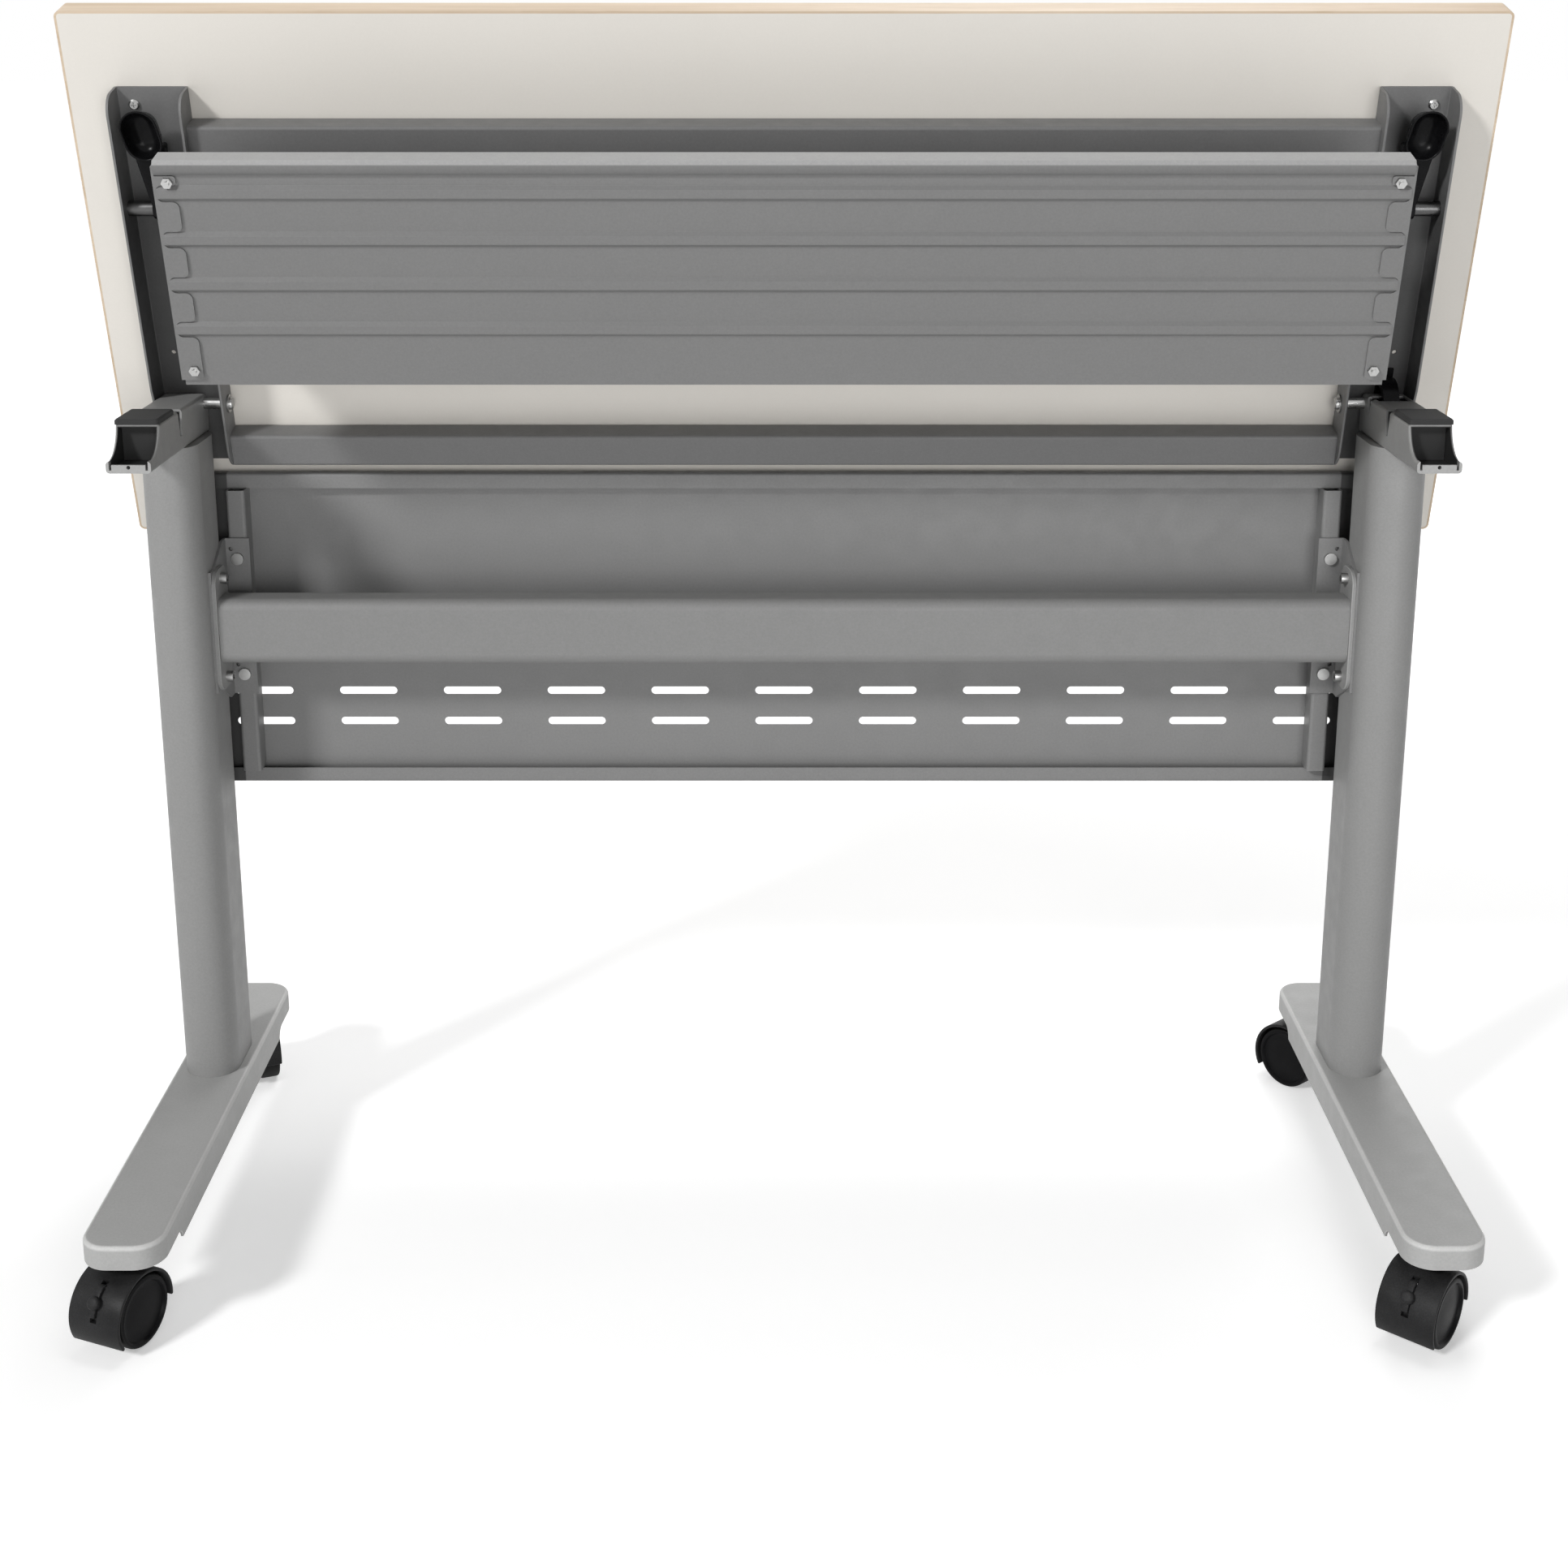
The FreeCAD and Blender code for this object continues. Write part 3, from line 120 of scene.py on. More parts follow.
class DeskFinishes(bpy.types.PropertyGroup):
    underside: colour("Underside", "Backing sheet under the board", (0.72, 0.69, 0.64))
    maple_light: colour("Light maple", "Pale bands of the wood", (0.70, 0.58, 0.45))
    maple_dark: colour("Dark maple", "Grain lines of the wood", (0.54, 0.42, 0.30))
    # The frame, beam, foot, arm, shelf and panel coats are one grey powder coat in lit and shaded copies: their
    # tones differ part by part as painted light and shade, lightest on the feet, where light falls on their tops.
    frame_coat: colour("Frame coat", "Powder coat of columns and heads", (0.245, 0.245, 0.242))
    beam_coat: colour("Beam coat", "Powder coat of the cross beam", (0.205, 0.205, 0.203))
    foot_coat: colour("Foot coat", "Powder coat of the feet", (0.385, 0.385, 0.38))
    arm_coat: colour("Arm coat", "Powder coat of the arms and rails", (0.16, 0.16, 0.16))
    shelf_coat: colour("Shelf coat", "Powder coat of the book shelf", (0.165, 0.165, 0.164))
    panel_coat: colour("Panel coat", "Powder coat of the modesty panel", (0.19, 0.19, 0.189))
    zinc: colour("Zinc", "Plated fasteners and pins", (0.42, 0.42, 0.415))
    dark_steel: colour("Dark steel", "Latch pins and teeth", (0.10, 0.10, 0.10))
    moulding: colour("Black moulding", "Levers and wheel discs", (0.005, 0.005, 0.0055))
    hood: colour("Hood moulding", "Caster hoods and pedals", (0.018, 0.018, 0.0185))
    rubber: colour("Rubber", "Pads and treads", (0.006, 0.006, 0.006))


class DeskCasters(bpy.types.PropertyGroup):
    wheel_radius: length("Wheel radius", "Outer radius of the tread", 0.030)
    wheel_width: length("Wheel width", "Width of one wheel", 0.019)
    trail: length("Trail", "Distance from stem to axle", 0.019)
    web_half: length("Half web", "Half thickness of the middle web", 0.004)
    side_gap: length("Side gap", "Gap between web and wheel", 0.001)
    hood_gap: length("Hood gap", "Gap between tread and hood", 0.0024)
    hood_wall: length("Hood wall", "Thickness of the hood", 0.0028)
    boss_radius: length("Boss radius", "Radius of the stem's boss", 0.011)
    low_behind: length("Hood's low edge behind", "Height of the hood's edge behind the axle", 0.012)
    low_ahead: length("Hood's low edge ahead", "Height of the hood's edge under the stem", 0.026)
    pedal_width: length("Pedal width", "Width of the brake's tongue", 0.005)
    thumb_radius: length("Thumb radius", "Radius of the brake's round thumb pad", 0.0055)
    thumb_at: angle("Thumb's place", "Angle of the thumb pad above the axle", 34.0)
    pedal_low: angle("Pedal's low end", "Angle of the tongue's low end above the axle", 16.0)
    pedal_high: angle("Pedal's high end", "Angle of the pedal's pivot above the axle", 60.0)


class DeskLevers(bpy.types.PropertyGroup):
    paddle_width: length("Paddle width", "Width across the dished paddle", 0.032)
    paddle_length: length("Paddle length", "Length of the dished paddle", 0.044)
    paddle_height: length("Paddle height", "Height of the paddle's wall", 0.018)
    paddle_wall: length("Paddle wall", "Thickness of the paddle's wall", 0.0014)
    paddle_out: length("Paddle out", "How far the paddle is out from the pivot's middle", 0.002)
    paddle_lean: angle("Paddle lean", "Turn of the paddle away from the desk's middle", 12.0)
    paddle_ahead: length("Paddle ahead", "Distance from the pivot to the paddle's middle", 0.070)
    paddle_below: length("Paddle below", "Distance from the pivot down to the paddle's rim", 0.020)
    hub_radius: length("Hub radius", "Radius of the lever's hub", 0.009)
    neck_width: length("Neck width", "Width of the neck between hub and paddle", 0.018)
    hub_past: length("Hub past the middle", "How far the hub reaches past the middle", 0.005)
    arm_width: length("Latch arm width", "Width of the arm that carries the tooth", 0.011)


class DeskStage(bpy.types.PropertyGroup):
    lens: FloatProperty(name="Lens", description="Focal length on a 36 mm sensor", default=49.3,
                        unit="CAMERA")
    camera_back: length("Camera back", "Distance of the camera in front of the columns", 1.864)
    camera_height: length("Camera height", "Height of the camera over the floor", 1.065)
    pitch: angle("Pitch", "Downward tilt of the camera", 14.2)
    shift: FloatProperty(name="Shift", description="Vertical lens shift", default=-0.15)
    key_power: power("Key power", "Power of the main lamp", 395.0)
    fill_power: power("Fill power", "Power of the low lamp in front", 76.0)
    top_power: power("Top power", "Power of the lamp above", 62.0)
    back_power: power("Back power", "Power of the lamp behind", 45.0)
    ambient: FloatProperty(name="Ambient", description="Light from all round", default=0.13)
    floor: colour("Floor", "Colour of the floor", (0.90, 0.90, 0.90))


class DeskSettings(bpy.types.PropertyGroup):
    finishes: PointerProperty(type=DeskFinishes)
    casters: PointerProperty(type=DeskCasters)
    levers: PointerProperty(type=DeskLevers)
    stage: PointerProperty(type=DeskStage)


def settings():
    return bpy.context.scene.desk_settings


# Modelling helpers

FACING = 0.9  # least part of a normal along an axis in a face that looks that way
SAME_POINT = 1e-6
ON_SURFACE = 1e-5
OVERLAP = 0.001  # how far shapes that are joined or cut run into each other
THROUGH = 0.03  # half length of a cutter through a caster
CUT_PAST = 0.01  # how far a bore's cutter reaches past its piece


def deselect():
    active = bpy.context.view_layer.objects.active
    if active and active.mode != "OBJECT":
        bpy.ops.object.mode_set(mode="OBJECT")
    bpy.ops.object.select_all(action="DESELECT")


def take(piece):
    deselect()
    piece.select_set(True)
    bpy.context.view_layer.objects.active = piece


def added():
    return bpy.context.view_layer.objects.active


def edit(piece):
    take(piece)
    bpy.ops.object.mode_set(mode="EDIT")
    bpy.ops.mesh.select_all(action="SELECT")


def leave():
    bpy.ops.object.mode_set(mode="OBJECT")


def pick_faces(piece, test):
    """Selects the faces whose middle and normal pass a test."""
    bpy.ops.mesh.select_mode(type="FACE")
    bpy.ops.mesh.select_all(action="DESELECT")
    mesh = bmesh.from_edit_mesh(piece.data)
    for face in mesh.faces:
        face.select_set(test(face.calc_center_median(), face.normal))
    bmesh.update_edit_mesh(piece.data)


def pick_edges(piece, test):
    """Selects the edges whose ends both pass a test."""
    bpy.ops.mesh.select_mode(type="EDGE")
    bpy.ops.mesh.select_all(action="DESELECT")
    mesh = bmesh.from_edit_mesh(piece.data)
    for edge in mesh.edges:
        edge.select_set(all(test(vertex.co) for vertex in edge.verts))
    bmesh.update_edit_mesh(piece.data)


def apply_place(piece):
    take(piece)
    bpy.ops.object.transform_apply(location=True, rotation=True, scale=True)


def apply_modifier(piece, kind, **values):
    take(piece)
    modifier = piece.modifiers.new(kind.lower(), kind)
    for key, value in values.items():
        setattr(modifier, key, value)
    bpy.ops.object.modifier_apply(modifier=modifier.name)


def soften(piece, width, segments=3, degrees=35.0):
    apply_modifier(piece, "BEVEL", width=width, segments=segments, limit_method="ANGLE",
                   angle_limit=math.radians(degrees), use_clamp_overlap=True)


def combine(piece, other, operation):
    """Joins another shape to a piece or cuts it out, and removes it."""
    apply_modifier(piece, "BOOLEAN", object=other, operation=operation, solver="EXACT")
    bpy.data.objects.remove(other)


def smooth(piece, degrees=35.0):
    take(piece)
    bpy.ops.object.shade_smooth_by_angle(angle=math.radians(degrees))


def cylinder_x(x0, x1, y, z, radius, vertices=48):
    bpy.ops.mesh.primitive_cylinder_add(vertices=vertices, radius=radius, depth=abs(x1 - x0),
                                        location=((x0 + x1) / 2, y, z),
                                        rotation=(0, math.pi / 2, 0))
    piece = added()
    apply_place(piece)
    return piece


def cylinder_z(z0, z1, x, y, radius, vertices=48):
    bpy.ops.mesh.primitive_cylinder_add(vertices=vertices, radius=radius, depth=z1 - z0,
                                        location=(x, y, (z0 + z1) / 2))
    piece = added()
    apply_place(piece)
    return piece


def block(x0, x1, y0, y1, z0, z1):
    middle = ((x0 + x1) / 2, (y0 + y1) / 2, (z0 + z1) / 2)
    bpy.ops.mesh.primitive_cube_add(size=1.0, location=middle)
    piece = added()
    piece.scale = (x1 - x0, y1 - y0, z1 - z0)
    apply_place(piece)
    return piece


def spun_bar(half, inner, outer, low, high, centre, steps):
    """A bar curved round an axle along X, from one angle to another."""
    middle = (inner + outer) / 2
    at = centre + Vector((0, math.cos(low), math.sin(low))) * middle
    bpy.ops.mesh.primitive_plane_add(size=1.0, location=at, rotation=(low, 0, 0))
    piece = added()
    piece.scale = (2 * half, outer - inner, 1)
    apply_place(piece)
    edit(piece)
    bpy.ops.mesh.spin(steps=steps, angle=low - high, center=centre, axis=(1, 0, 0))
    bpy.ops.mesh.select_all(action="SELECT")
    bpy.ops.mesh.remove_doubles(threshold=SAME_POINT)
    bpy.ops.mesh.normals_make_consistent(inside=False)
    leave()
    return piece


def dish(rings):
    """Insets the picked faces ring by ring, each ring with its own width and depth."""
    for inward, depth in rings:
        bpy.ops.mesh.inset(thickness=inward, depth=depth)


def set_down(piece, place):
    piece.matrix_world = place
    apply_place(piece)


def finish_piece(piece, name, body, slot, nodes, finishes=None):
    """Names a piece, gives it its finishes unless it has some, and puts it in its nodes' place."""
    piece.name = name
    piece.data.name = name
    take(piece)
    if not piece.data.materials:
        for finish in finishes or [FINISH_OF_SLOT[slot]]:
            piece.data.materials.append(bpy.data.materials[finish])
    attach(piece, body)
    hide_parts(*nodes)


# Finishes

FLOAT, COLOUR = "NodeSocketFloat", "NodeSocketColor"
EDGE_HIGHLIGHT = 1.4  # factors on the coat's tone: a painted highlight on rounded edges, and where it is rubbed
RUBBED_LIFT = 1.35
RUBBED_GLOSS = 0.12  # how much less rough a rubbed place is
EDGE_SCUFFS = 0.5  # amount of scuffs on coated edges and faces, and on the other finishes
FACE_SCUFFS = 0.1
EDGING_SCUFFS = 0.3
ZINC_SCUFFS = 0.7
MOULDED_SCUFFS = 0.35
EDGING_WORN = 1.15  # factors on a tone where it is worn
ZINC_WORN = 0.55
MOULDED_GREY = 0.02  # grey that a scuff adds to a moulding, and how much of its dust
DUST_GREY = 0.1
COAT_ROUGH = (0.46, 0.6)  # range of each finish's roughness
BOARD_ROUGH = (0.42, 0.55)
EDGING_ROUGH = (0.62, 0.5)
ZINC_ROUGH = (0.22, 0.42)
COAT_SPECULAR = 0.45
EDGING_SPECULAR = 0.15
COAT_BUMP = (0.12, 0.0004)  # strength and distance of each finish's bump
BOARD_BUMP = (0.08, 0.0003)
EDGING_BUMP = (0.15, 0.0003)
ZINC_BUMP = (0.1, 0.0002)
GRAIN_DISTANCE = 0.0003
BLEND = 0.0004  # width over which one tone passes into another
PANEL_BLEND = 0.001
PANEL_END_SHADE = 0.22  # factors on the coat's tone where shade or highlights are painted
HEAD_INSIDE_SHADE = 0.06
ARM_INSIDE_SHADE = 0.4
FOOT_RIM_HIGHLIGHT = 1.45
SHELF_LIP_HIGHLIGHT = 1.9
HEAD_SKIN = 0.0016  # depth below the outer faces where the painted shade inside begins
ARM_SKIN = 0.0014
HEAD_LIP = 0.006  # length of a head's open end that is kept free of the painted shade
ARM_FADE = (0.05, 0.11)  # from an arm's front end to where its painted shade inside begins and is full
RIM_BAND = (0.0042, 0.0024, 0.0005, 0.0001)  # a foot's painted highlight band, in depths below its top
LIP_BAND = (0.0026, 0.0034)  # where the shelf's painted highlight along its lip ends, from its front edge
MAPLE_FROM = (0.039, 0.0392)  # height over the hinge, top lowered, where the maple begins


def new_group(name, inputs, outputs):
    """A node group that takes a place and the inputs, with its ends."""
    tree = bpy.data.node_groups.new(name, "ShaderNodeTree")
    tree.interface.new_socket("Vector", in_out="INPUT", socket_type="NodeSocketVector")
    for label, kind, default in inputs:
        socket = tree.interface.new_socket(label, in_out="INPUT", socket_type=kind)
        socket.default_value = default
    for label, kind in outputs:
        tree.interface.new_socket(label, in_out="OUTPUT", socket_type=kind)
    return tree, tree.nodes.new("NodeGroupInput"), tree.nodes.new("NodeGroupOutput")


def node(tree, kind, **values):
    made = tree.nodes.new(kind)
    for key, value in values.items():
        setattr(made, key, value)
    return made


def plug(tree, socket, value):
    """Links a value to an input, or sets it there."""
    if isinstance(value, bpy.types.NodeSocket):
        tree.links.new(value, socket)
    else:
        socket.default_value = value


def fill(tree, made, **values):
    """Plugs a node's inputs by name; an underscore stands for a space."""
    for key, value in values.items():
        plug(tree, made.inputs[key.replace("_", " ")], value)


def math_node(tree, operation, first, second):
    made = node(tree, "ShaderNodeMath", operation=operation)
    for socket, value in zip(made.inputs, (first, second)):
        plug(tree, socket, value)
    return made.outputs[0]


def noise(tree, vector, scale, detail=3.0, rough=0.55):
    made = node(tree, "ShaderNodeTexNoise")
    fill(tree, made, Vector=vector, Scale=scale, Detail=detail, Roughness=rough)
    return made.outputs["Fac"]


def spread(tree, value, low, high, to_low, to_high):
    """A value taken from one range to another and kept inside it."""
    made = node(tree, "ShaderNodeMapRange")
    fill(tree, made, Value=value, From_Min=low, From_Max=high, To_Min=to_low, To_Max=to_high)
    return made.outputs["Result"]


def tinted(tree, tone, factor):
    """A tone made lighter or darker by a factor."""
    made = node(tree, "ShaderNodeVectorMath", operation="SCALE")
    plug(tree, made.inputs[0], tone)
    fill(tree, made, Scale=factor)
    return made.outputs[0]


def lifted(tone, factor):
    """A tone times a factor as a socket's colour."""
    return tuple(min(1.0, channel * factor) for channel in tone) + (1.0,)


def axes(tree, place):
    """The X, Y and Z sockets of a place."""
    split = node(tree, "ShaderNodeSeparateXYZ")
    tree.links.new(place, split.inputs[0])
    return split.outputs


def past_all(tree, mask, limits):
    """A mask narrowed to what lies past each limit, given as value, start and way."""
    for value, start, way in limits:
        past = spread(tree, value, start, start + way * BLEND, 0.0, 1.0)
        mask = math_node(tree, "MULTIPLY", mask, past)
    return mask


def blended(tree, factor, first, second):
    made = node(tree, "ShaderNodeMix", data_type="RGBA")
    fill(tree, made, Factor=factor)
    for label, value in (("A", first), ("B", second)):
        plug(tree, [s for s in made.inputs if s.name == label and s.type == "RGBA"][0], value)
    return [s for s in made.outputs if s.type == "RGBA"][0]


def stretched(tree, place, **values):
    mapping = node(tree, "ShaderNodeMapping")
    fill(tree, mapping, Vector=place, **values)
    return mapping.outputs[0]


def coat_group():
    """Powder coat: slow drift of tone, fine flecks and orange peel."""
    tree, start, end = new_group(
        "powder_coat",
        [("Colour", COLOUR, (0.4, 0.4, 0.4, 1)), ("Drift", FLOAT, 0.06), ("Fleck", FLOAT, 0.3)],
        [("Colour", COLOUR), ("Roughness", FLOAT), ("Height", FLOAT)])
    vector = start.outputs["Vector"]
    slow = math_node(tree, "SUBTRACT", noise(tree, vector, 5.0, 2.0), 0.5)
    fine = math_node(tree, "SUBTRACT", noise(tree, vector, 480.0, 3.0, 0.7), 0.5)
    drift = math_node(tree, "MULTIPLY", slow, start.outputs["Drift"])
    fleck = math_node(tree, "MULTIPLY", fine, start.outputs["Fleck"])
    factor = math_node(tree, "ADD", math_node(tree, "ADD", drift, fleck), 1.0)
    fill(tree, end, Colour=tinted(tree, start.outputs["Colour"], factor),
         Roughness=spread(tree, noise(tree, vector, 60.0), 0.3, 0.7, *COAT_ROUGH),
         Height=noise(tree, vector, 650.0, 3.0, 0.6))


def scuff_group():
    """Thin scratches and rubbed patches as one mask."""
    tree, start, end = new_group("scuffs", [("Amount", FLOAT, 0.4)], [("Mask", FLOAT)])
    vector = start.outputs["Vector"]
    along = stretched(tree, vector, Scale=(6.0, 60.0, 90.0), Rotation=(0.2, 0.5, 0.3))
    lines = spread(tree, noise(tree, along, 6.0, 4.0, 0.6), 0.62, 0.72, 0.0, 1.0)
    patch = spread(tree, noise(tree, vector, 9.0, 3.0), 0.5, 0.66, 0.0, 1.0)
    worn = math_node(tree, "MULTIPLY", lines, patch)
    fill(tree, end, Mask=math_node(tree, "MULTIPLY", worn, start.outputs["Amount"]))


def wood_group():
    """Maple: long bands, fine pores and a low height."""
    tree, start, end = new_group(
        "maple_grain",
        [("Light", COLOUR, (0.7, 0.5, 0.3, 1)), ("Dark", COLOUR, (0.5, 0.3, 0.2, 1))],
        [("Colour", COLOUR), ("Height", FLOAT)])
    along = stretched(tree, start.outputs["Vector"], Scale=(1.2, 22.0, 22.0))
    bands = spread(tree, noise(tree, along, 2.2, 5.0, 0.6), 0.3, 0.75, 0.0, 1.0)
    short = stretched(tree, start.outputs["Vector"], Scale=(30.0, 900.0, 900.0))
    pore = spread(tree, noise(tree, short, 1.0, 2.0), 0.58, 0.72, 0.0, 0.35)
    factor = math_node(tree, "MINIMUM", math_node(tree, "ADD", bands, pore), 1.0)
    fill(tree, end, Colour=blended(tree, factor, start.outputs["Light"], start.outputs["Dark"]),
         Height=math_node(tree, "SUBTRACT", 1.0, pore))


def grain_group():
    """Moulded plastic or rubber: fine eroded grain with a slow change of gloss."""
    tree, start, end = new_group(
        "moulded_grain",
        [("Colour", COLOUR, (0.02, 0.02, 0.02, 1)), ("Scale", FLOAT, 900.0),
         ("Smooth", FLOAT, 0.3), ("Rough", FLOAT, 0.5)],
        [("Colour", COLOUR), ("Roughness", FLOAT), ("Height", FLOAT)])
    vector = start.outputs["Vector"]
    grain = noise(tree, vector, start.outputs["Scale"], 3.0, 0.6)
    slow = noise(tree, vector, 40.0, 3.0)
    factor = spread(tree, math_node(tree, "MULTIPLY", grain, slow), 0.1, 0.45, 0.6, 1.5)
    gloss = spread(tree, slow, 0.3, 0.7, start.outputs["Smooth"], start.outputs["Rough"])
    fill(tree, end, Colour=tinted(tree, start.outputs["Colour"], factor), Roughness=gloss,
         Height=grain)


def new_finish(name):
    material = bpy.data.materials.new(name)
    material.use_nodes = True
    tree = material.node_tree
    shader = tree.nodes["Principled BSDF"]
    place = node(tree, "ShaderNodeTexCoord").outputs["Object"]
    return tree, shader, place


def placed_group(tree, name, place, **values):
    made = node(tree, "ShaderNodeGroup", node_tree=bpy.data.node_groups[name])
    tree.links.new(place, made.inputs["Vector"])
    for key, value in values.items():
        is_colour = hasattr(value, "__len__")
        made.inputs[key].default_value = tuple(value) + (1.0,) if is_colour else value
    return made


def bump(tree, shader, height, strength, distance):
    made = node(tree, "ShaderNodeBump")
    fill(tree, made, Strength=strength, Distance=distance, Height=height)
    fill(tree, shader, Normal=made.outputs["Normal"])


def scuffs(tree, place, amount):
    return placed_group(tree, "scuffs", place, Amount=amount).outputs["Mask"]


def coat_finish(name, tone, edge, painted_light=None, where=None):
    """Grey powder coat, lighter on rounded edges as a painted highlight and rubbed there; the last two arguments
    give a painted shade or highlight that changes its tone.
    """
    tree, shader, place = new_finish(name)
    lift = EDGE_HIGHLIGHT if edge else 1.0
    coat = placed_group(tree, "powder_coat", place, Colour=[channel * lift for channel in tone])
    mask = scuffs(tree, place, EDGE_SCUFFS if edge else FACE_SCUFFS)
    paint = blended(tree, mask, coat.outputs["Colour"], lifted(tone, RUBBED_LIFT))
    if painted_light:
        paint = painted_light(tree, place, paint, where)
    rough = math_node(tree, "SUBTRACT", coat.outputs["Roughness"],
                      math_node(tree, "MULTIPLY", mask, RUBBED_GLOSS))
    fill(tree, shader, Base_Color=paint, Roughness=rough, Specular_IOR_Level=COAT_SPECULAR)
    bump(tree, shader, coat.outputs["Height"], *COAT_BUMP)


def painted_shade_ends(tree, place, tone, where):
    """Painted shade: the tone in the middle and behind; the front is dark past a distance from the middle."""
    from_x, back_y = where
    at = axes(tree, place)
    away = math_node(tree, "ABSOLUTE", at["X"], 0.0)
    mask = math_node(tree, "MULTIPLY", spread(tree, away, from_x, from_x + PANEL_BLEND, 0.0, 1.0),
                     spread(tree, at["Y"], back_y - 2 * BLEND, back_y - BLEND, 1.0, 0.0))
    return tinted(tree, tone, spread(tree, mask, 0.0, 1.0, 1.0, PANEL_END_SHADE))


def painted_shade_inside(tree, place, tone, box):
    """Painted shade: the tone outside, nearly black on the inner faces of a support head behind its lip."""
    at = axes(tree, place)
    low, high = box
    away = math_node(tree, "ABSOLUTE", at["X"], 0.0)
    mask = past_all(tree, 1.0, ((away, low.x + HEAD_SKIN, 1), (away, high.x - HEAD_SKIN, -1),
                                (at["Z"], low.z + HEAD_SKIN, 1), (at["Z"], high.z - HEAD_SKIN, -1),
                                (at["Y"], low.y + HEAD_LIP, 1)))
    return tinted(tree, tone, spread(tree, mask, 0.0, 1.0, 1.0, HEAD_INSIDE_SHADE))


def lowered(tree, place):
    """Places on the top as they are when it is lowered, from the hinge."""
    mapping = node(tree, "ShaderNodeMapping", vector_type="TEXTURE")
    fill(tree, mapping, Vector=place, Location=HINGE, Rotation=(-RAISED, 0, 0))
    return mapping.outputs[0]


def lowered_box(name):
    """The corners of a node's box with the top lowered, from the hinge."""
    turn = Matrix.Rotation(RAISED, 3, "X")
    points = [turn @ (vertex.co - HINGE) for vertex in frame["nodes"][name].data.vertices]
    return [Vector(pick(point[axis] for point in points) for axis in range(3))
            for pick in (min, max)]


def painted_shade_channel(tree, place, tone, box):
    """Painted shade: the tone outside, darker on the inner faces of an arm away from its front end."""
    at = axes(tree, lowered(tree, place))
    low, high = box
    begin, full = ARM_FADE
    away = math_node(tree, "ABSOLUTE", at["X"], 0.0)
    mask = past_all(tree, spread(tree, at["Y"], low.y + begin, low.y + full, 0.0, 1.0),
                    ((away, low.x + ARM_SKIN, 1), (away, high.x - ARM_SKIN, -1),
                     (at["Z"], high.z - ARM_SKIN, -1)))
    return tinted(tree, tone, spread(tree, mask, 0.0, 1.0, 1.0, ARM_INSIDE_SHADE))


def painted_highlight_rim(tree, place, tone, top):
    """Painted highlight: the tone with a paler band on a foot's rounded rim, just below its flat top."""
    height = axes(tree, place)["Z"]
    begin, full, fade, end = (top - depth for depth in RIM_BAND)
    rising = spread(tree, height, begin, full, 1.0, FOOT_RIM_HIGHLIGHT)
    flat = spread(tree, height, fade, end, 0.0, 1.0)
    lift = math_node(tree, "SUBTRACT", rising,
                     math_node(tree, "MULTIPLY", flat, FOOT_RIM_HIGHLIGHT - 1.0))
    return tinted(tree, tone, lift)


def painted_highlight_lip(tree, place, tone, box):
    """Painted highlight: the tone with a paler line along the bent front lip of the shelf."""
    back = axes(tree, lowered(tree, place))["Y"]
    begin, end = (box[0].y + distance for distance in LIP_BAND)
    return tinted(tree, tone, spread(tree, back, begin, end, SHELF_LIP_HIGHLIGHT, 1.0))


def board_finish(finishes):
    """Pale backing sheet below, maple above, told apart by the height through the board."""
    tree, shader, place = new_finish("melamine_board")
    flat = lowered(tree, place)
    above = spread(tree, axes(tree, flat)["Z"], *MAPLE_FROM, 0.0, 1.0)
    paper = placed_group(tree, "powder_coat", flat, Colour=finishes.underside, Drift=0.05,
                         Fleck=0.05)
    wood = placed_group(tree, "maple_grain", flat, Light=finishes.maple_light,
                        Dark=finishes.maple_dark)
    fill(tree, shader,
         Base_Color=blended(tree, above, paper.outputs["Colour"], wood.outputs["Colour"]),
         Roughness=spread(tree, paper.outputs["Height"], 0.3, 0.7, *BOARD_ROUGH))
    bump(tree, shader, wood.outputs["Height"], *BOARD_BUMP)


def edging_finish(finishes):
    tree, shader, place = new_finish("maple_edging")
    wood = placed_group(tree, "maple_grain", place, Light=finishes.maple_light,
                        Dark=finishes.maple_dark)
    pale = lifted(finishes.maple_light, EDGING_WORN)
    mask = scuffs(tree, place, EDGING_SCUFFS)
    fill(tree, shader,
         Base_Color=blended(tree, mask, wood.outputs["Colour"], pale),
         Roughness=spread(tree, wood.outputs["Height"], 0.6, 1.0, *EDGING_ROUGH),
         Specular_IOR_Level=EDGING_SPECULAR)
    bump(tree, shader, wood.outputs["Height"], *EDGING_BUMP)


def zinc_finish(name, tone):
    tree, shader, place = new_finish(name)
    plate = placed_group(tree, "powder_coat", place, Colour=tone, Drift=0.5, Fleck=0.2)
    dull = lifted(tone, ZINC_WORN)
    mask = scuffs(tree, place, ZINC_SCUFFS)
    fill(tree, shader, Metallic=1.0,
         Base_Color=blended(tree, mask, plate.outputs["Colour"], dull),
         Roughness=spread(tree, plate.outputs["Roughness"], *COAT_ROUGH, *ZINC_ROUGH))
    bump(tree, shader, plate.outputs["Height"], *ZINC_BUMP)


def moulded_finish(name, tone, scale, gloss, strength, sheen, dust=0.0):
    """Plastic or rubber with a grain of some scale, two roughnesses and a share of dust."""
    tree, shader, place = new_finish(name)
    grain = placed_group(tree, "moulded_grain", place, Colour=tone, Scale=scale, Smooth=gloss[0],
                         Rough=gloss[1])
    grey = tuple(channel + MOULDED_GREY + DUST_GREY * dust for channel in tone) + (1.0,)
    mask = scuffs(tree, place, MOULDED_SCUFFS + dust)
    fill(tree, shader, Base_Color=blended(tree, mask, grain.outputs["Colour"], grey),
         Roughness=grain.outputs["Roughness"], Specular_IOR_Level=sheen)
    bump(tree, shader, grain.outputs["Height"], strength, GRAIN_DISTANCE)


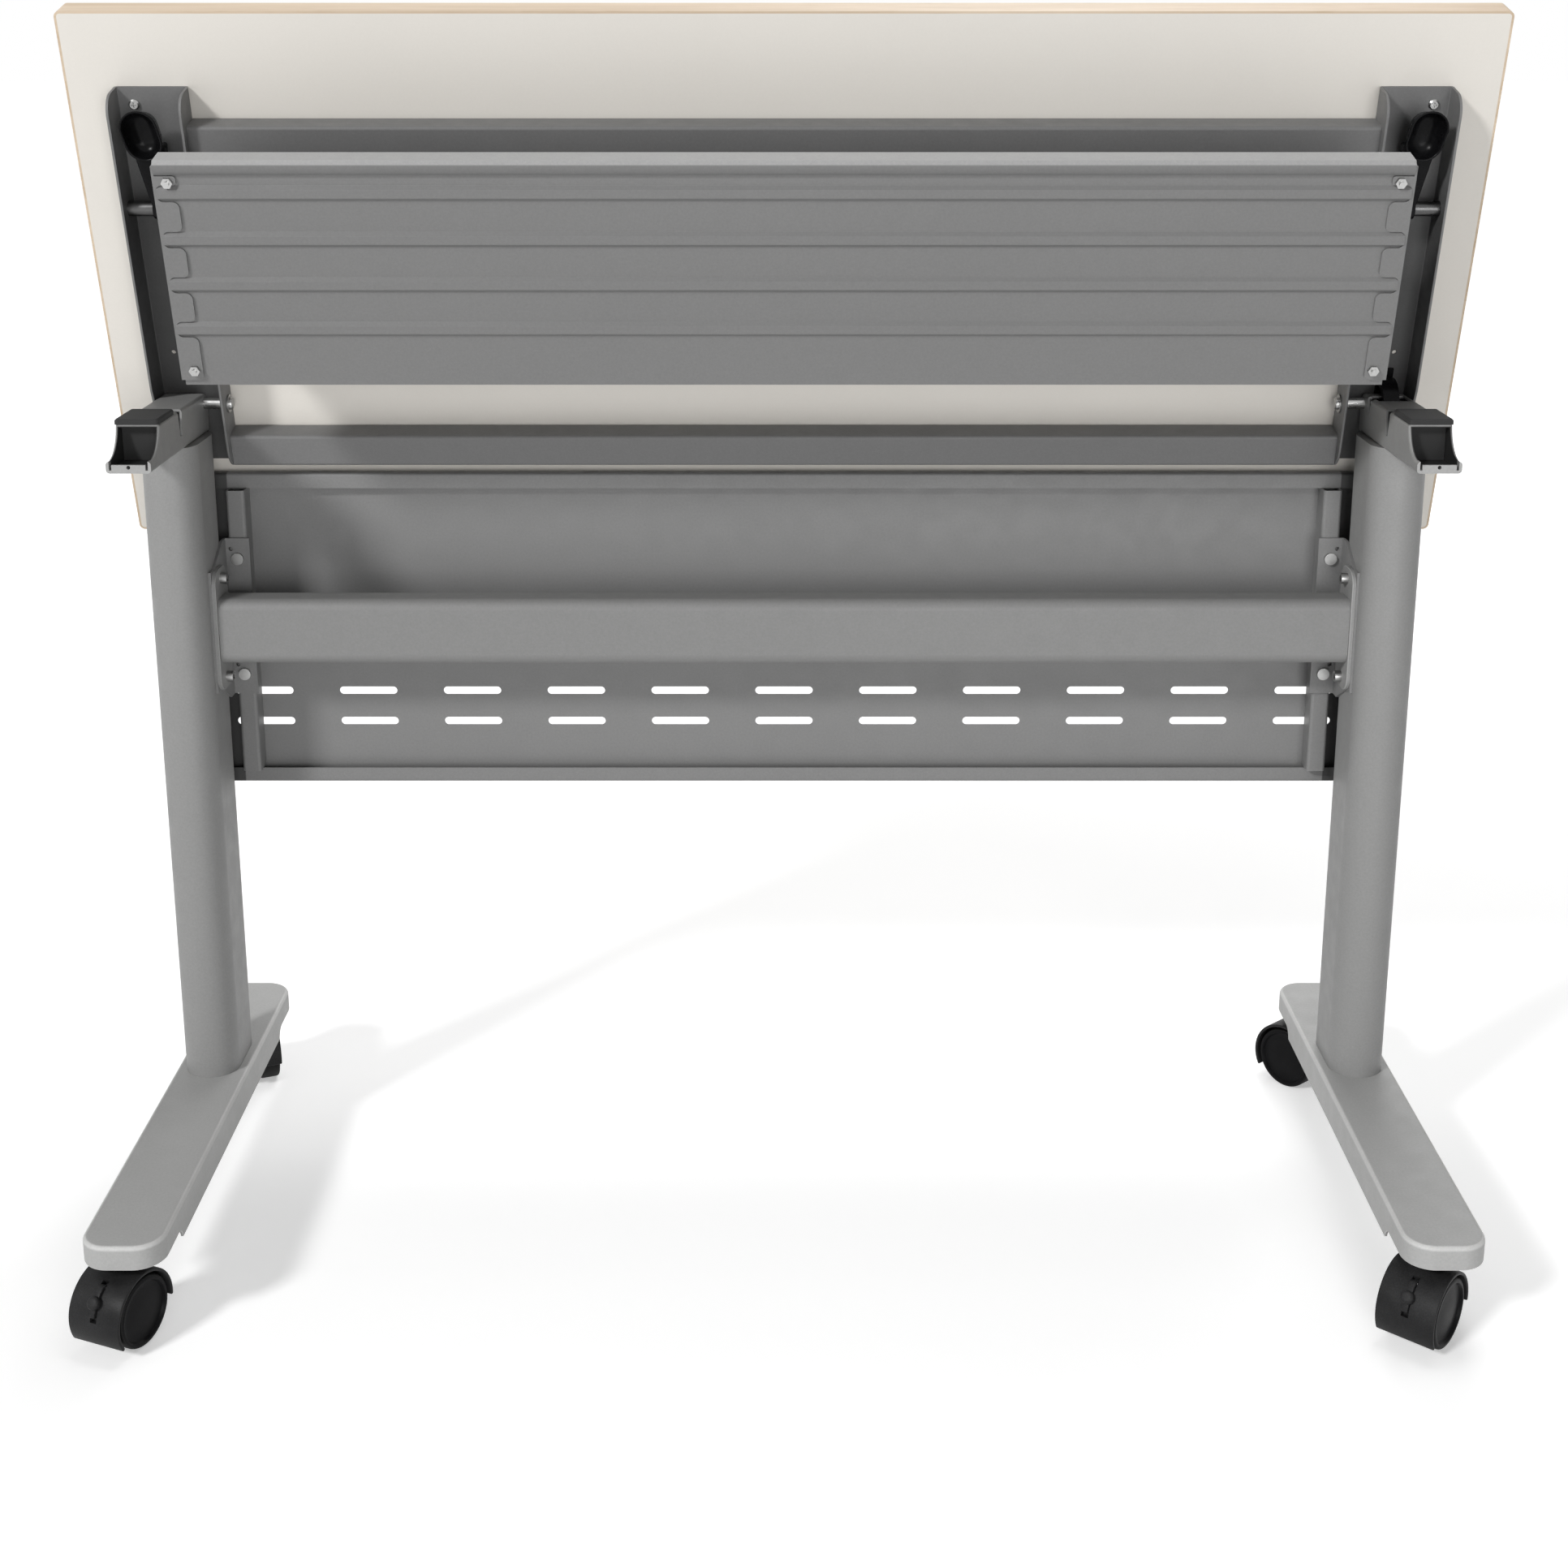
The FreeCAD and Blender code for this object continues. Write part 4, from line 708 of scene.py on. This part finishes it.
class DESK_OT_finishes(bpy.types.Operator):
    """Makes the finishes and puts them on the plain pieces"""
    bl_idname = "desk.finishes"
    bl_label = "Finishes"

    def execute(self, context):
        finishes = settings().finishes
        for make in (coat_group, scuff_group, wood_group, grain_group):
            make()
        panel_shade_from = (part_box("right_stiffener")[1].x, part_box("modesty_panel")[1].y)
        # Rows of finish name, tone, and for some a painted shade or highlight with where it lies; the grey tones
        # are lit and shaded copies of one coat.
        coats = (("frame_coat", finishes.frame_coat),
                 ("beam_coat", finishes.beam_coat),
                 ("arm_coat", finishes.arm_coat),
                 ("shelf_coat", finishes.shelf_coat),
                 ("panel_coat", finishes.panel_coat),
                 ("panel_sheet", finishes.panel_coat, painted_shade_ends, panel_shade_from),
                 ("head_coat", finishes.frame_coat, painted_shade_inside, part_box("right_head")),
                 ("foot_coat", finishes.foot_coat, painted_highlight_rim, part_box("right_foot")[1].z),
                 ("lipped_coat", finishes.shelf_coat, painted_highlight_lip, lowered_box("book_shelf")),
                 ("channel_coat", finishes.arm_coat, painted_shade_channel, lowered_box("right_arm")))
        # Each finish comes twice; the second, for rounded edges, is lighter as a painted highlight and more
        # rubbed.
        for name, tone, *painted_light_args in coats:
            coat_finish(name, tone, False, *painted_light_args)
            coat_finish(name + "_edge", tone, True, *painted_light_args)
        board_finish(finishes)
        edging_finish(finishes)
        zinc_finish("zinc_plate", finishes.zinc)
        zinc_finish("dark_plate", finishes.dark_steel)
        moulded_finish("gloss_moulding", finishes.moulding, 300.0, (0.2, 0.32), 0.03, 0.08)
        moulded_finish("hood_moulding", finishes.hood, 900.0, (0.38, 0.52), 0.5, 0.12)
        moulded_finish("wheel_disc", finishes.moulding, 700.0, (0.3, 0.42), 0.12, 0.06)
        moulded_finish("pad_rubber", finishes.rubber, 1100.0, (0.45, 0.6), 0.3, 0.07)
        moulded_finish("wheel_tread", finishes.rubber, 800.0, (0.5, 0.7), 0.3, 0.15, dust=0.4)
        for name, piece in frame["nodes"].items():
            piece.data.materials.clear()
            dark = name.endswith(("_latch_pin", "_latch_tooth"))
            finish = "dark_plate" if dark else FINISH_OF_SLOT[SLOT_OF[name]]
            piece.data.materials.append(bpy.data.materials[finish])
        return {"FINISHED"}


# Coated steel: each sheet or tube with its cut edges rounded

CUT_ROUND = 0.0006  # radius on the cut edges
SHARP = 38.0  # edges sharper than this, in degrees, are rounded
FLAT = 0.3  # faces that turn less than this, in degrees, are one
MESH_WELD = 2e-6
MOUTH_HALF = 0.0025  # half width of the latch slot at its bottom
MOUTH_DEPTH = 0.0215  # depth of the slot below a head's top
MOUTH_FLARE = 2.5  # width of the slot at the top, against the bottom
TOOTH_ROOM = 0.002  # how far the mouth reaches past the tooth
LIP_DEPTH = 0.006  # depth of the head's cut front that shows the edge finish with its painted highlight
FRONTWARD = 0.3  # how far such a face looks to the front at least and to a side at most


def latch_mouth(name):
    """The flared mouth of the latch slot, as a wedge to cut from a support head."""
    side = -1 if name.startswith("left") else 1
    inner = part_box("right_head")[0].x
    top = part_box("right_head")[1].z
    low, high = lowered_box("right_latch_tooth")
    y = HINGE.y + (low.y + high.y) / 2
    ends = sorted((side * (inner - OVERLAP), side * (high.x + TOOTH_ROOM)))
    wedge = block(*ends, y - MOUTH_HALF, y + MOUTH_HALF, top - MOUTH_DEPTH, top + OVERLAP)
    edit(wedge)
    pick_faces(wedge, lambda at, normal: normal.z > FACING)
    bpy.ops.transform.resize(value=(1, MOUTH_FLARE, 1), center_override=(0, y, top))
    leave()
    return wedge


def paint_mouth_highlight(piece, name):
    """Puts the edge finish, a painted highlight with rubbed wear, on the cut ends of the sheet round a support
    head's open front.
    """
    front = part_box(name.replace("_head", "_pad"))[0].y
    edit(piece)
    pick_faces(piece, lambda at, normal: at.y < front + LIP_DEPTH and normal.y < -FRONTWARD
               and abs(normal.x) < FRONTWARD)
    piece.active_material_index = 1
    bpy.ops.object.material_slot_assign()
    leave()


def coated_copy(name):
    mesh = frame["nodes"][name].data.copy()
    piece = bpy.data.objects.new(name + "_coated", mesh)
    bpy.context.scene.collection.objects.link(piece)
    finish = OWN_FINISH.get(name, FINISH_OF_SLOT[SLOT_OF[name]])
    mesh.materials.clear()
    for label in (finish, finish + "_edge"):
        mesh.materials.append(bpy.data.materials[label])
    take(piece)
    bpy.ops.mesh.customdata_custom_splitnormals_clear()
    edit(piece)
    bpy.ops.mesh.remove_doubles(threshold=MESH_WELD)
    bpy.ops.mesh.dissolve_limited(angle_limit=math.radians(FLAT))
    if name.endswith("_head"):
        leave()
        combine(piece, latch_mouth(name), "DIFFERENCE")
        paint_mouth_highlight(piece, name)
        edit(piece)
    bpy.ops.mesh.select_mode(type="EDGE")
    bpy.ops.mesh.select_all(action="DESELECT")
    bpy.ops.mesh.edges_select_sharp(sharpness=math.radians(SHARP))
    # The rounded cut edges take the edge finish: a painted highlight with rubbed wear.
    bpy.ops.mesh.bevel(offset=CUT_ROUND, segments=2, affect="EDGES", clamp_overlap=True, material=1)
    leave()
    smooth(piece, SHARP)
    apply_modifier(piece, "WEIGHTED_NORMAL", mode="FACE_AREA", weight=100, keep_sharp=True)
    finish_piece(piece, name + "_coated", BODY_OF[name], SLOT_OF[name], [name])


class DESK_OT_coated_steel(bpy.types.Operator):
    """Makes the coated sheets and tubes with rounded cut edges"""
    bl_idname = "desk.coated_steel"
    bl_label = "Coated steel"

    def execute(self, context):
        for name in sorted(frame["nodes"]):
            if SLOT_OF[name] in COATED_SLOTS:
                coated_copy(name)
        return {"FINISHED"}


# Casters, drawn with the stem on the Z axis and the axle behind it, then turned to their place

# Width and depth of each ring of a wheel's face, from the tread inward
WHEEL_DISH = ((0.0042, 0.0), (0.0012, -0.0024), (0.0046, 0.0), (0.0080, 0.0010))
WHEEL_ROUND = 0.0026  # radius on the tread's edges
RING_ROUND = 0.0004  # radius between the rings
TREAD_DEPTH = 0.0015  # depth of the tread's rubber
WHEEL_BORE = 0.00405
BLIND = 0.004  # how far the wheel's bore ends inside its outer face
AXLE_BORE = 0.004
STEM_BORE = 0.00505
STEM_GAP = 0.0003
SOCKET_GAP = 0.0006
HOOD_ROUND = 0.0011
BOSS_ROUND = 0.0008
WEB_BELOW = 0.016  # how far the web reaches below the axle
SLOT_GAP = 0.0006
SLOT_RISE = 0.008  # how far the pedal's slot is cut out past the hood
SLOT_ENDS = (math.radians(8), math.radians(5))  # how far the slot is longer than the pedal
PEDAL_SKIN = (0.0019, 0.0026)  # the tongue's faces, out from those of the hood
PEDAL_BOSS = 0.0023
PEDAL_BORE = 0.00105
PEDAL_ROUND = 0.0005
PIVOT_BEFORE = math.radians(4)  # pivot and tongue's end, back from the pedal's high end
TONGUE_BEFORE = math.radians(5)
THUMB_HEIGHT = 0.0045
THUMB_OUT = 0.00425  # the thumb pad's middle, out from the hood
THUMB_RIM = 0.006  # edges further out than this are the pad's rim
THUMB_ROUND = 0.0024


def caster_place(name):
    stem = Vector(JOINTS[name + "_swivel"]["pos_m"])
    axle = Vector(JOINTS[name + "_wheel_a_spin"]["pos_m"])
    way = axle - stem
    turn = math.atan2(way.y, way.x) - math.pi / 2
    return Matrix.Translation((stem.x, stem.y, 0)) @ Matrix.Rotation(turn, 4, "Z")


def wheel(side):
    c = settings().casters
    near = c.web_half + c.side_gap
    far = near + c.wheel_width
    rim = c.wheel_radius
    piece = cylinder_x(side * near, side * far, c.trail, rim, rim, 64)
    edit(piece)
    pick_faces(piece, lambda at, normal: normal.x * side > FACING)
    dish(WHEEL_DISH)
    pick_edges(piece, lambda at: math.hypot(at.y - c.trail, at.z - rim) > rim - ON_SURFACE
               and min(abs(at.x * side - near), abs(at.x * side - far)) < ON_SURFACE)
    bpy.ops.mesh.bevel(offset=WHEEL_ROUND, segments=4, affect="EDGES")
    leave()
    soften(piece, RING_ROUND, 2)
    ends = sorted((side * (near - OVERLAP), side * (far - BLIND)))
    combine(piece, cylinder_x(*ends, c.trail, rim, WHEEL_BORE, 32), "DIFFERENCE")
    for face in piece.data.polygons:
        out = math.hypot(face.center.y - c.trail, face.center.z - rim)
        face.material_index = 1 if out > rim - TREAD_DEPTH else 0
    smooth(piece, 40.0)
    return piece


def hood_shell(braked):
    c = settings().casters
    centre = Vector((0, c.trail, c.wheel_radius))
    inner = c.wheel_radius + c.hood_gap
    outer = inner + c.hood_wall
    half = c.web_half + 2 * c.side_gap + c.wheel_width
    behind = math.asin((c.low_behind - c.wheel_radius) / outer)
    ahead = math.asin((c.low_ahead - c.wheel_radius) / outer)
    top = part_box("caster_sockets")[0].z - SOCKET_GAP
    piece = spun_bar(half, inner, outer, behind, math.pi - ahead, centre, 48)
    soften(piece, HOOD_ROUND, 3)
    web = cylinder_x(-c.web_half, c.web_half, c.trail, c.wheel_radius, inner + OVERLAP, 64)
    under = block(-half, half, c.trail - 2 * THROUGH, c.trail + 2 * THROUGH, -THROUGH,
                  c.wheel_radius - WEB_BELOW)
    combine(web, under, "DIFFERENCE")
    combine(piece, web, "UNION")
    boss = cylinder_z(c.wheel_radius, top, 0, 0, c.boss_radius, 40)
    core = cylinder_x(-THROUGH, THROUGH, c.trail, c.wheel_radius, inner + OVERLAP, 64)
    combine(boss, core, "DIFFERENCE")
    soften(boss, BOSS_ROUND, 2)
    combine(piece, boss, "UNION")
    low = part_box("caster_stems")[0].z - STEM_GAP
    combine(piece, cylinder_z(low, top + CUT_PAST, 0, 0, STEM_BORE, 40), "DIFFERENCE")
    axle = cylinder_x(-THROUGH, THROUGH, c.trail, c.wheel_radius, AXLE_BORE, 32)
    combine(piece, axle, "DIFFERENCE")
    if braked:
        slot = spun_bar(c.pedal_width / 2 + SLOT_GAP, c.wheel_radius + SLOT_GAP, outer + SLOT_RISE,
                        c.pedal_low - SLOT_ENDS[0], c.pedal_high + SLOT_ENDS[1], centre, 12)
        combine(piece, slot, "DIFFERENCE")
    smooth(piece, 32.0)
    return piece


def pedal():
    c = settings().casters
    centre = Vector((0, c.trail, c.wheel_radius))
    inner = c.wheel_radius + c.hood_gap
    outer = inner + c.hood_wall
    half = c.pedal_width / 2
    pivot = c.pedal_high - PIVOT_BEFORE
    at = centre + Vector((0, math.cos(pivot), math.sin(pivot))) * (inner + outer) / 2
    piece = spun_bar(half, inner + PEDAL_SKIN[0], outer + PEDAL_SKIN[1], c.pedal_low,
                     c.pedal_high - TONGUE_BEFORE, centre, 12)
    combine(piece, cylinder_x(-half, half, at.y, at.z, PEDAL_BOSS, 24), "UNION")
    bore = cylinder_x(-half - CUT_PAST, half + CUT_PAST, at.y, at.z, PEDAL_BORE, 24)
    combine(piece, bore, "DIFFERENCE")
    soften(piece, PEDAL_ROUND, 2, 40.0)
    way = Vector((0, math.cos(c.thumb_at), math.sin(c.thumb_at)))
    bpy.ops.mesh.primitive_cylinder_add(vertices=40, radius=c.thumb_radius, depth=THUMB_HEIGHT,
                                        location=centre + way * (outer + THUMB_OUT),
                                        rotation=(c.thumb_at - math.pi / 2, 0, 0))
    thumb = added()
    apply_place(thumb)
    edit(thumb)
    pick_edges(thumb, lambda co: (co - centre).dot(way) > outer + THUMB_RIM)
    bpy.ops.mesh.bevel(offset=THUMB_ROUND, segments=4, affect="EDGES")
    leave()
    combine(piece, thumb, "UNION")
    smooth(piece, 40.0)
    return piece


class DESK_OT_casters(bpy.types.Operator):
    """Makes the hoods, the wheels and the brake pedals"""
    bl_idname = "desk.casters"
    bl_label = "Casters"

    def execute(self, context):
        for name, braked in CORNERS:
            place = caster_place(name)
            hood = hood_shell(braked)
            set_down(hood, place)
            finish_piece(hood, name + "_moulded_hood", name + "_swivel", "caster_black",
                         [name + "_hood"])
            for letter, side in (("a", -1), ("b", 1)):
                tyre = wheel(side)
                set_down(tyre, place)
                finish_piece(tyre, name + "_dished_wheel_" + letter, name + "_wheel_" + letter,
                             "wheel_rubber", [name + "_wheel_" + letter],
                             ["wheel_disc", "wheel_tread"])
            if braked:
                tongue = pedal()
                set_down(tongue, place)
                finish_piece(tongue, name + "_moulded_pedal", name + "_brake", "caster_black",
                             [name + "_brake_pedal"])
        return {"FINISHED"}


# Release levers, drawn with the top lowered and then turned up with it

# Width and depth of each ring of the paddle's hollow, from the rim inward
PADDLE_DISH = ((0.0020, 0.0), (0.0008, -0.0040), (0.0020, -0.0045), (0.0035, -0.0032),
               (0.0040, -0.0013))
PADDLE_TAPER = 0.72  # size of the paddle's closed side, against its rim
PADDLE_ROUND = 0.0012
CUP_HEIGHT = 0.7  # height and taper of the hollow kept free of the neck
CUP_TAPER = 0.8
NECK_IN = 0.012  # how far the neck ends short of the paddle's middle
NECK_RISE = (0.006, 0.004)  # the neck's low face over the rim, its high face over the pivot
NECK_AT_HUB = (0.8, 1.0, 0.62)  # size of the neck's ends, against its block
NECK_AT_PADDLE = (1.45, 1.0, 1.0)
NECK_ROUND = 0.0022
HUB_ROUND = 0.0008
PIN_BORE = 0.00405
LATCH_HEIGHT = 0.014  # height of the latch arm at the hub
LATCH_ROUND = 0.0005
LATCH_TIP = 0.005  # length of the arm's thin end
LATCH_NARROW = (0.5, 0.2)  # height of the arm where the thin end begins and at its tip


def paddle_block(width, length, height, taper):
    """A block with round ends that narrows upward, its rim round the origin."""
    deselect()
    bpy.ops.mesh.primitive_cylinder_add(vertices=40, radius=width / 2, depth=height,
                                        location=(0, 0, height / 2))
    piece = added()
    apply_place(piece)
    edit(piece)
    for way in (-1, 1):
        pick_edges(piece, lambda at: at.y * way > ON_SURFACE)
        bpy.ops.transform.translate(value=(0, way * (length - width) / 2, 0))
    pick_faces(piece, lambda at, normal: normal.z > FACING)
    bpy.ops.transform.resize(value=(taper, taper, 1.0), center_override=(0, 0, 0))
    leave()
    return piece


def lever(side):
    """A release lever: paddle, neck, hub and latch arm, made on the right and mirrored."""
    v = settings().levers
    pin = Vector(JOINTS["right_lever_pull"]["pos_m"])
    middle = pin.x
    y, z = (HINGE + Matrix.Rotation(RAISED, 3, "X") @ (pin - HINGE)).yz
    rim = z - v.paddle_below
    ahead = y - v.paddle_ahead
    lean = Matrix.Rotation(v.paddle_lean, 4, "Z")
    place = Matrix.Translation((middle + v.paddle_out, ahead, rim)) @ lean
    piece = paddle_block(v.paddle_width, v.paddle_length, v.paddle_height, PADDLE_TAPER)
    edit(piece)
    pick_faces(piece, lambda at, normal: normal.z < -FACING)
    dish(PADDLE_DISH)
    leave()
    soften(piece, PADDLE_ROUND, 3, 40.0)
    set_down(piece, place)
    end = middle + v.hub_past
    neck = block(end - v.neck_width, end, ahead + NECK_IN, y, rim + NECK_RISE[0], z + NECK_RISE[1])
    edit(neck)
    pick_faces(neck, lambda at, normal: normal.y > FACING)
    bpy.ops.transform.resize(value=NECK_AT_HUB, center_override=(middle, y, z))
    pick_faces(neck, lambda at, normal: normal.y < -FACING)
    bpy.ops.transform.resize(value=NECK_AT_PADDLE, center_override=(end - v.neck_width, y, z))
    leave()
    soften(neck, NECK_ROUND, 3)
    cup = paddle_block(v.paddle_width - 2 * v.paddle_wall, v.paddle_length - 2 * v.paddle_wall,
                       CUP_HEIGHT * v.paddle_height, CUP_TAPER)
    set_down(cup, place)
    combine(neck, cup, "DIFFERENCE")
    combine(piece, neck, "UNION")
    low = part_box("right_release_lever")[0]
    hub = cylinder_x(low.x, end, y, z, v.hub_radius, 48)
    soften(hub, HUB_ROUND, 2)
    combine(piece, hub, "UNION")
    combine(piece, latch_arm(low.x, y, z), "UNION")
    bore = cylinder_x(low.x - CUT_PAST, end + CUT_PAST, y, z, PIN_BORE, 32)
    combine(piece, bore, "DIFFERENCE")
    smooth(piece, 35.0)
    turn = Matrix.Rotation(-RAISED, 4, "X")
    set_down(piece, Matrix.Translation(HINGE) @ turn @ Matrix.Translation(-HINGE))
    if side < 0:
        take(piece)
        bpy.ops.transform.mirror(constraint_axis=(True, False, False), center_override=(0, 0, 0))
        apply_place(piece)
        edit(piece)
        bpy.ops.mesh.normals_make_consistent(inside=False)
        leave()
    return piece


def latch_arm(inner, y, z):
    """The arm from the hub to the tooth, thinner toward its tip."""
    v = settings().levers
    tooth = [sum(pair) / 2 for pair in zip(*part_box("right_latch_tooth"))]
    tip = HINGE + Matrix.Rotation(RAISED, 3, "X") @ (Vector(tooth) - HINGE)
    middle = (z + tip.z) / 2
    piece = block(inner, inner + v.arm_width, y, tip.y, middle - LATCH_HEIGHT / 2,
                  middle + LATCH_HEIGHT / 2)
    edit(piece)
    pick_faces(piece, lambda at, normal: normal.y > FACING)
    bpy.ops.transform.translate(value=(0, 0, (tip.z - z) / 2))
    bpy.ops.transform.resize(value=(1, 1, LATCH_NARROW[0]), center_override=(inner, tip.y, tip.z))
    bpy.ops.mesh.extrude_region_move(TRANSFORM_OT_translate={"value": (0, LATCH_TIP, 0)})
    bpy.ops.transform.resize(value=(1, 1, LATCH_NARROW[1]), center_override=(inner, tip.y, tip.z))
    pick_faces(piece, lambda at, normal: normal.y < -FACING)
    bpy.ops.transform.translate(value=(0, 0, (z - tip.z) / 2))
    leave()
    soften(piece, LATCH_ROUND, 2)
    return piece


class DESK_OT_levers(bpy.types.Operator):
    """Makes the release levers with their dished paddles"""
    bl_idname = "desk.levers"
    bl_label = "Release levers"

    def execute(self, context):
        for side, way in SIDES:
            finish_piece(lever(way), side + "_moulded_lever", side + "_lever", "lever_black",
                         [side + "_release_lever"])
        return {"FINISHED"}


# Floor, light and camera

# Name, place, target and size of each lamp
LAMPS = (
    ("key", (-4.7, -5.1, 4.9), (0, 0.1, 0.55), 1.1),
    ("fill", (0.9, -4.2, 0.7), (0, 0.1, 0.7), 2.0),
    ("top", (0.5, 0.9, 4.2), (0, 0.1, 0.5), 2.0),
    ("back", (0.8, 3.6, 2.8), (0, 0.1, 0.6), 2.0),
)
FLOOR_SIZE = 60.0
FLOOR_DRIFT = (0.985, 1.0)  # range of the floor's tone
FLOOR_GLOW = (0.9, 5.0, 0.36, 0.9)  # two distances from the desk, and the floor's glow at each
SENSOR = 36.0


def camera_ray(tree):
    """One for camera, glossy and transmission rays, else nought."""
    path = node(tree, "ShaderNodeLightPath")
    glossy = math_node(tree, "MAXIMUM", path.outputs["Is Camera Ray"],
                       path.outputs["Is Glossy Ray"])
    return math_node(tree, "MAXIMUM", glossy, path.outputs["Is Transmission Ray"])


def floor_finish(tone):
    """A pale floor that glows a little toward the distance, so that it meets the world."""
    tree, shader, place = new_finish("pale_floor")
    drift = spread(tree, noise(tree, place, 3.0), 0.3, 0.7, *FLOOR_DRIFT)
    away = node(tree, "ShaderNodeVectorMath", operation="LENGTH")
    plug(tree, away.inputs[0], place)
    glow = spread(tree, away.outputs["Value"], *FLOOR_GLOW)
    fill(tree, shader, Base_Color=tinted(tree, tone, drift), Roughness=0.9,
         Specular_IOR_Level=0.1, Emission_Color=(1, 1, 1, 1),
         Emission_Strength=math_node(tree, "MULTIPLY", camera_ray(tree), glow))


def studio_world(strength):
    """White to the camera and in reflections, a weaker light to all else."""
    world = bpy.data.worlds.new("studio")
    bpy.context.scene.world = world
    world.use_nodes = True
    tree = world.node_tree
    seen = camera_ray(tree)
    rest = math_node(tree, "MULTIPLY", math_node(tree, "SUBTRACT", 1.0, seen), strength)
    fill(tree, tree.nodes["Background"], Color=(1, 1, 1, 1),
         Strength=math_node(tree, "ADD", seen, rest))


def lamp(name, place, target, size, watts):
    data = bpy.data.lights.new(name, "AREA")
    data.shape = "SQUARE"
    data.size = size
    data.energy = watts
    made = bpy.data.objects.new(name, data)
    made.location = place
    made.rotation_euler = (Vector(target) - Vector(place)).to_track_quat("-Z", "Y").to_euler()
    bpy.context.scene.collection.objects.link(made)


class DESK_OT_stage(bpy.types.Operator):
    """Makes the floor, the lamps and the camera"""
    bl_idname = "desk.stage"
    bl_label = "Stage"

    def execute(self, context):
        s = settings().stage
        deselect()
        bpy.ops.mesh.primitive_plane_add(size=FLOOR_SIZE, location=(0, 0, 0))
        floor = added()
        floor.name = "floor"
        floor_finish(s.floor)
        floor.data.materials.append(bpy.data.materials["pale_floor"])
        studio_world(s.ambient)
        powers = (s.key_power, s.fill_power, s.top_power, s.back_power)
        for light, watts in zip(LAMPS, powers):
            lamp(*light, watts)
        data = bpy.data.cameras.new("camera")
        data.sensor_width = SENSOR
        data.lens = s.lens
        data.shift_y = s.shift
        made = bpy.data.objects.new("camera", data)
        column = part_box("left_column")
        columns = (column[0].y + column[1].y) / 2
        made.location = (0.0, columns - s.camera_back, s.camera_height)
        made.rotation_euler = (math.pi / 2 - s.pitch, 0, 0)
        context.scene.collection.objects.link(made)
        context.scene.camera = made
        context.scene.view_settings.view_transform = "Standard"
        return {"FINISHED"}


class DESK_PT_pieces(bpy.types.Panel):
    """Lists what makes the desk and the values it is made from"""
    bl_idname = "DESK_PT_pieces"
    bl_label = "Desk"
    bl_space_type = "VIEW_3D"
    bl_region_type = "UI"
    bl_category = "Desk"

    def draw(self, context):
        for operator in OPERATORS:
            self.layout.operator(operator.bl_idname)
        s = settings()
        for group in (s.finishes, s.casters, s.levers, s.stage):
            box = self.layout.box()
            for label in group.__annotations__:
                box.prop(group, label)


GROUPS = (DeskFinishes, DeskCasters, DeskLevers, DeskStage, DeskSettings)
OPERATORS = (DESK_OT_finishes, DESK_OT_coated_steel, DESK_OT_casters, DESK_OT_levers,
             DESK_OT_stage)


def register():
    for cls in GROUPS + OPERATORS + (DESK_PT_pieces,):
        bpy.utils.register_class(cls)
    bpy.types.Scene.desk_settings = PointerProperty(type=DeskSettings)


def unregister():
    del bpy.types.Scene.desk_settings
    for cls in reversed(GROUPS + OPERATORS + (DESK_PT_pieces,)):
        bpy.utils.unregister_class(cls)


def main():
    register()
    bpy.ops.desk.finishes()
    bpy.ops.desk.coated_steel()
    bpy.ops.desk.casters()
    bpy.ops.desk.levers()
    bpy.ops.desk.stage()
    deselect()


if __name__ == "__main__":
    main()
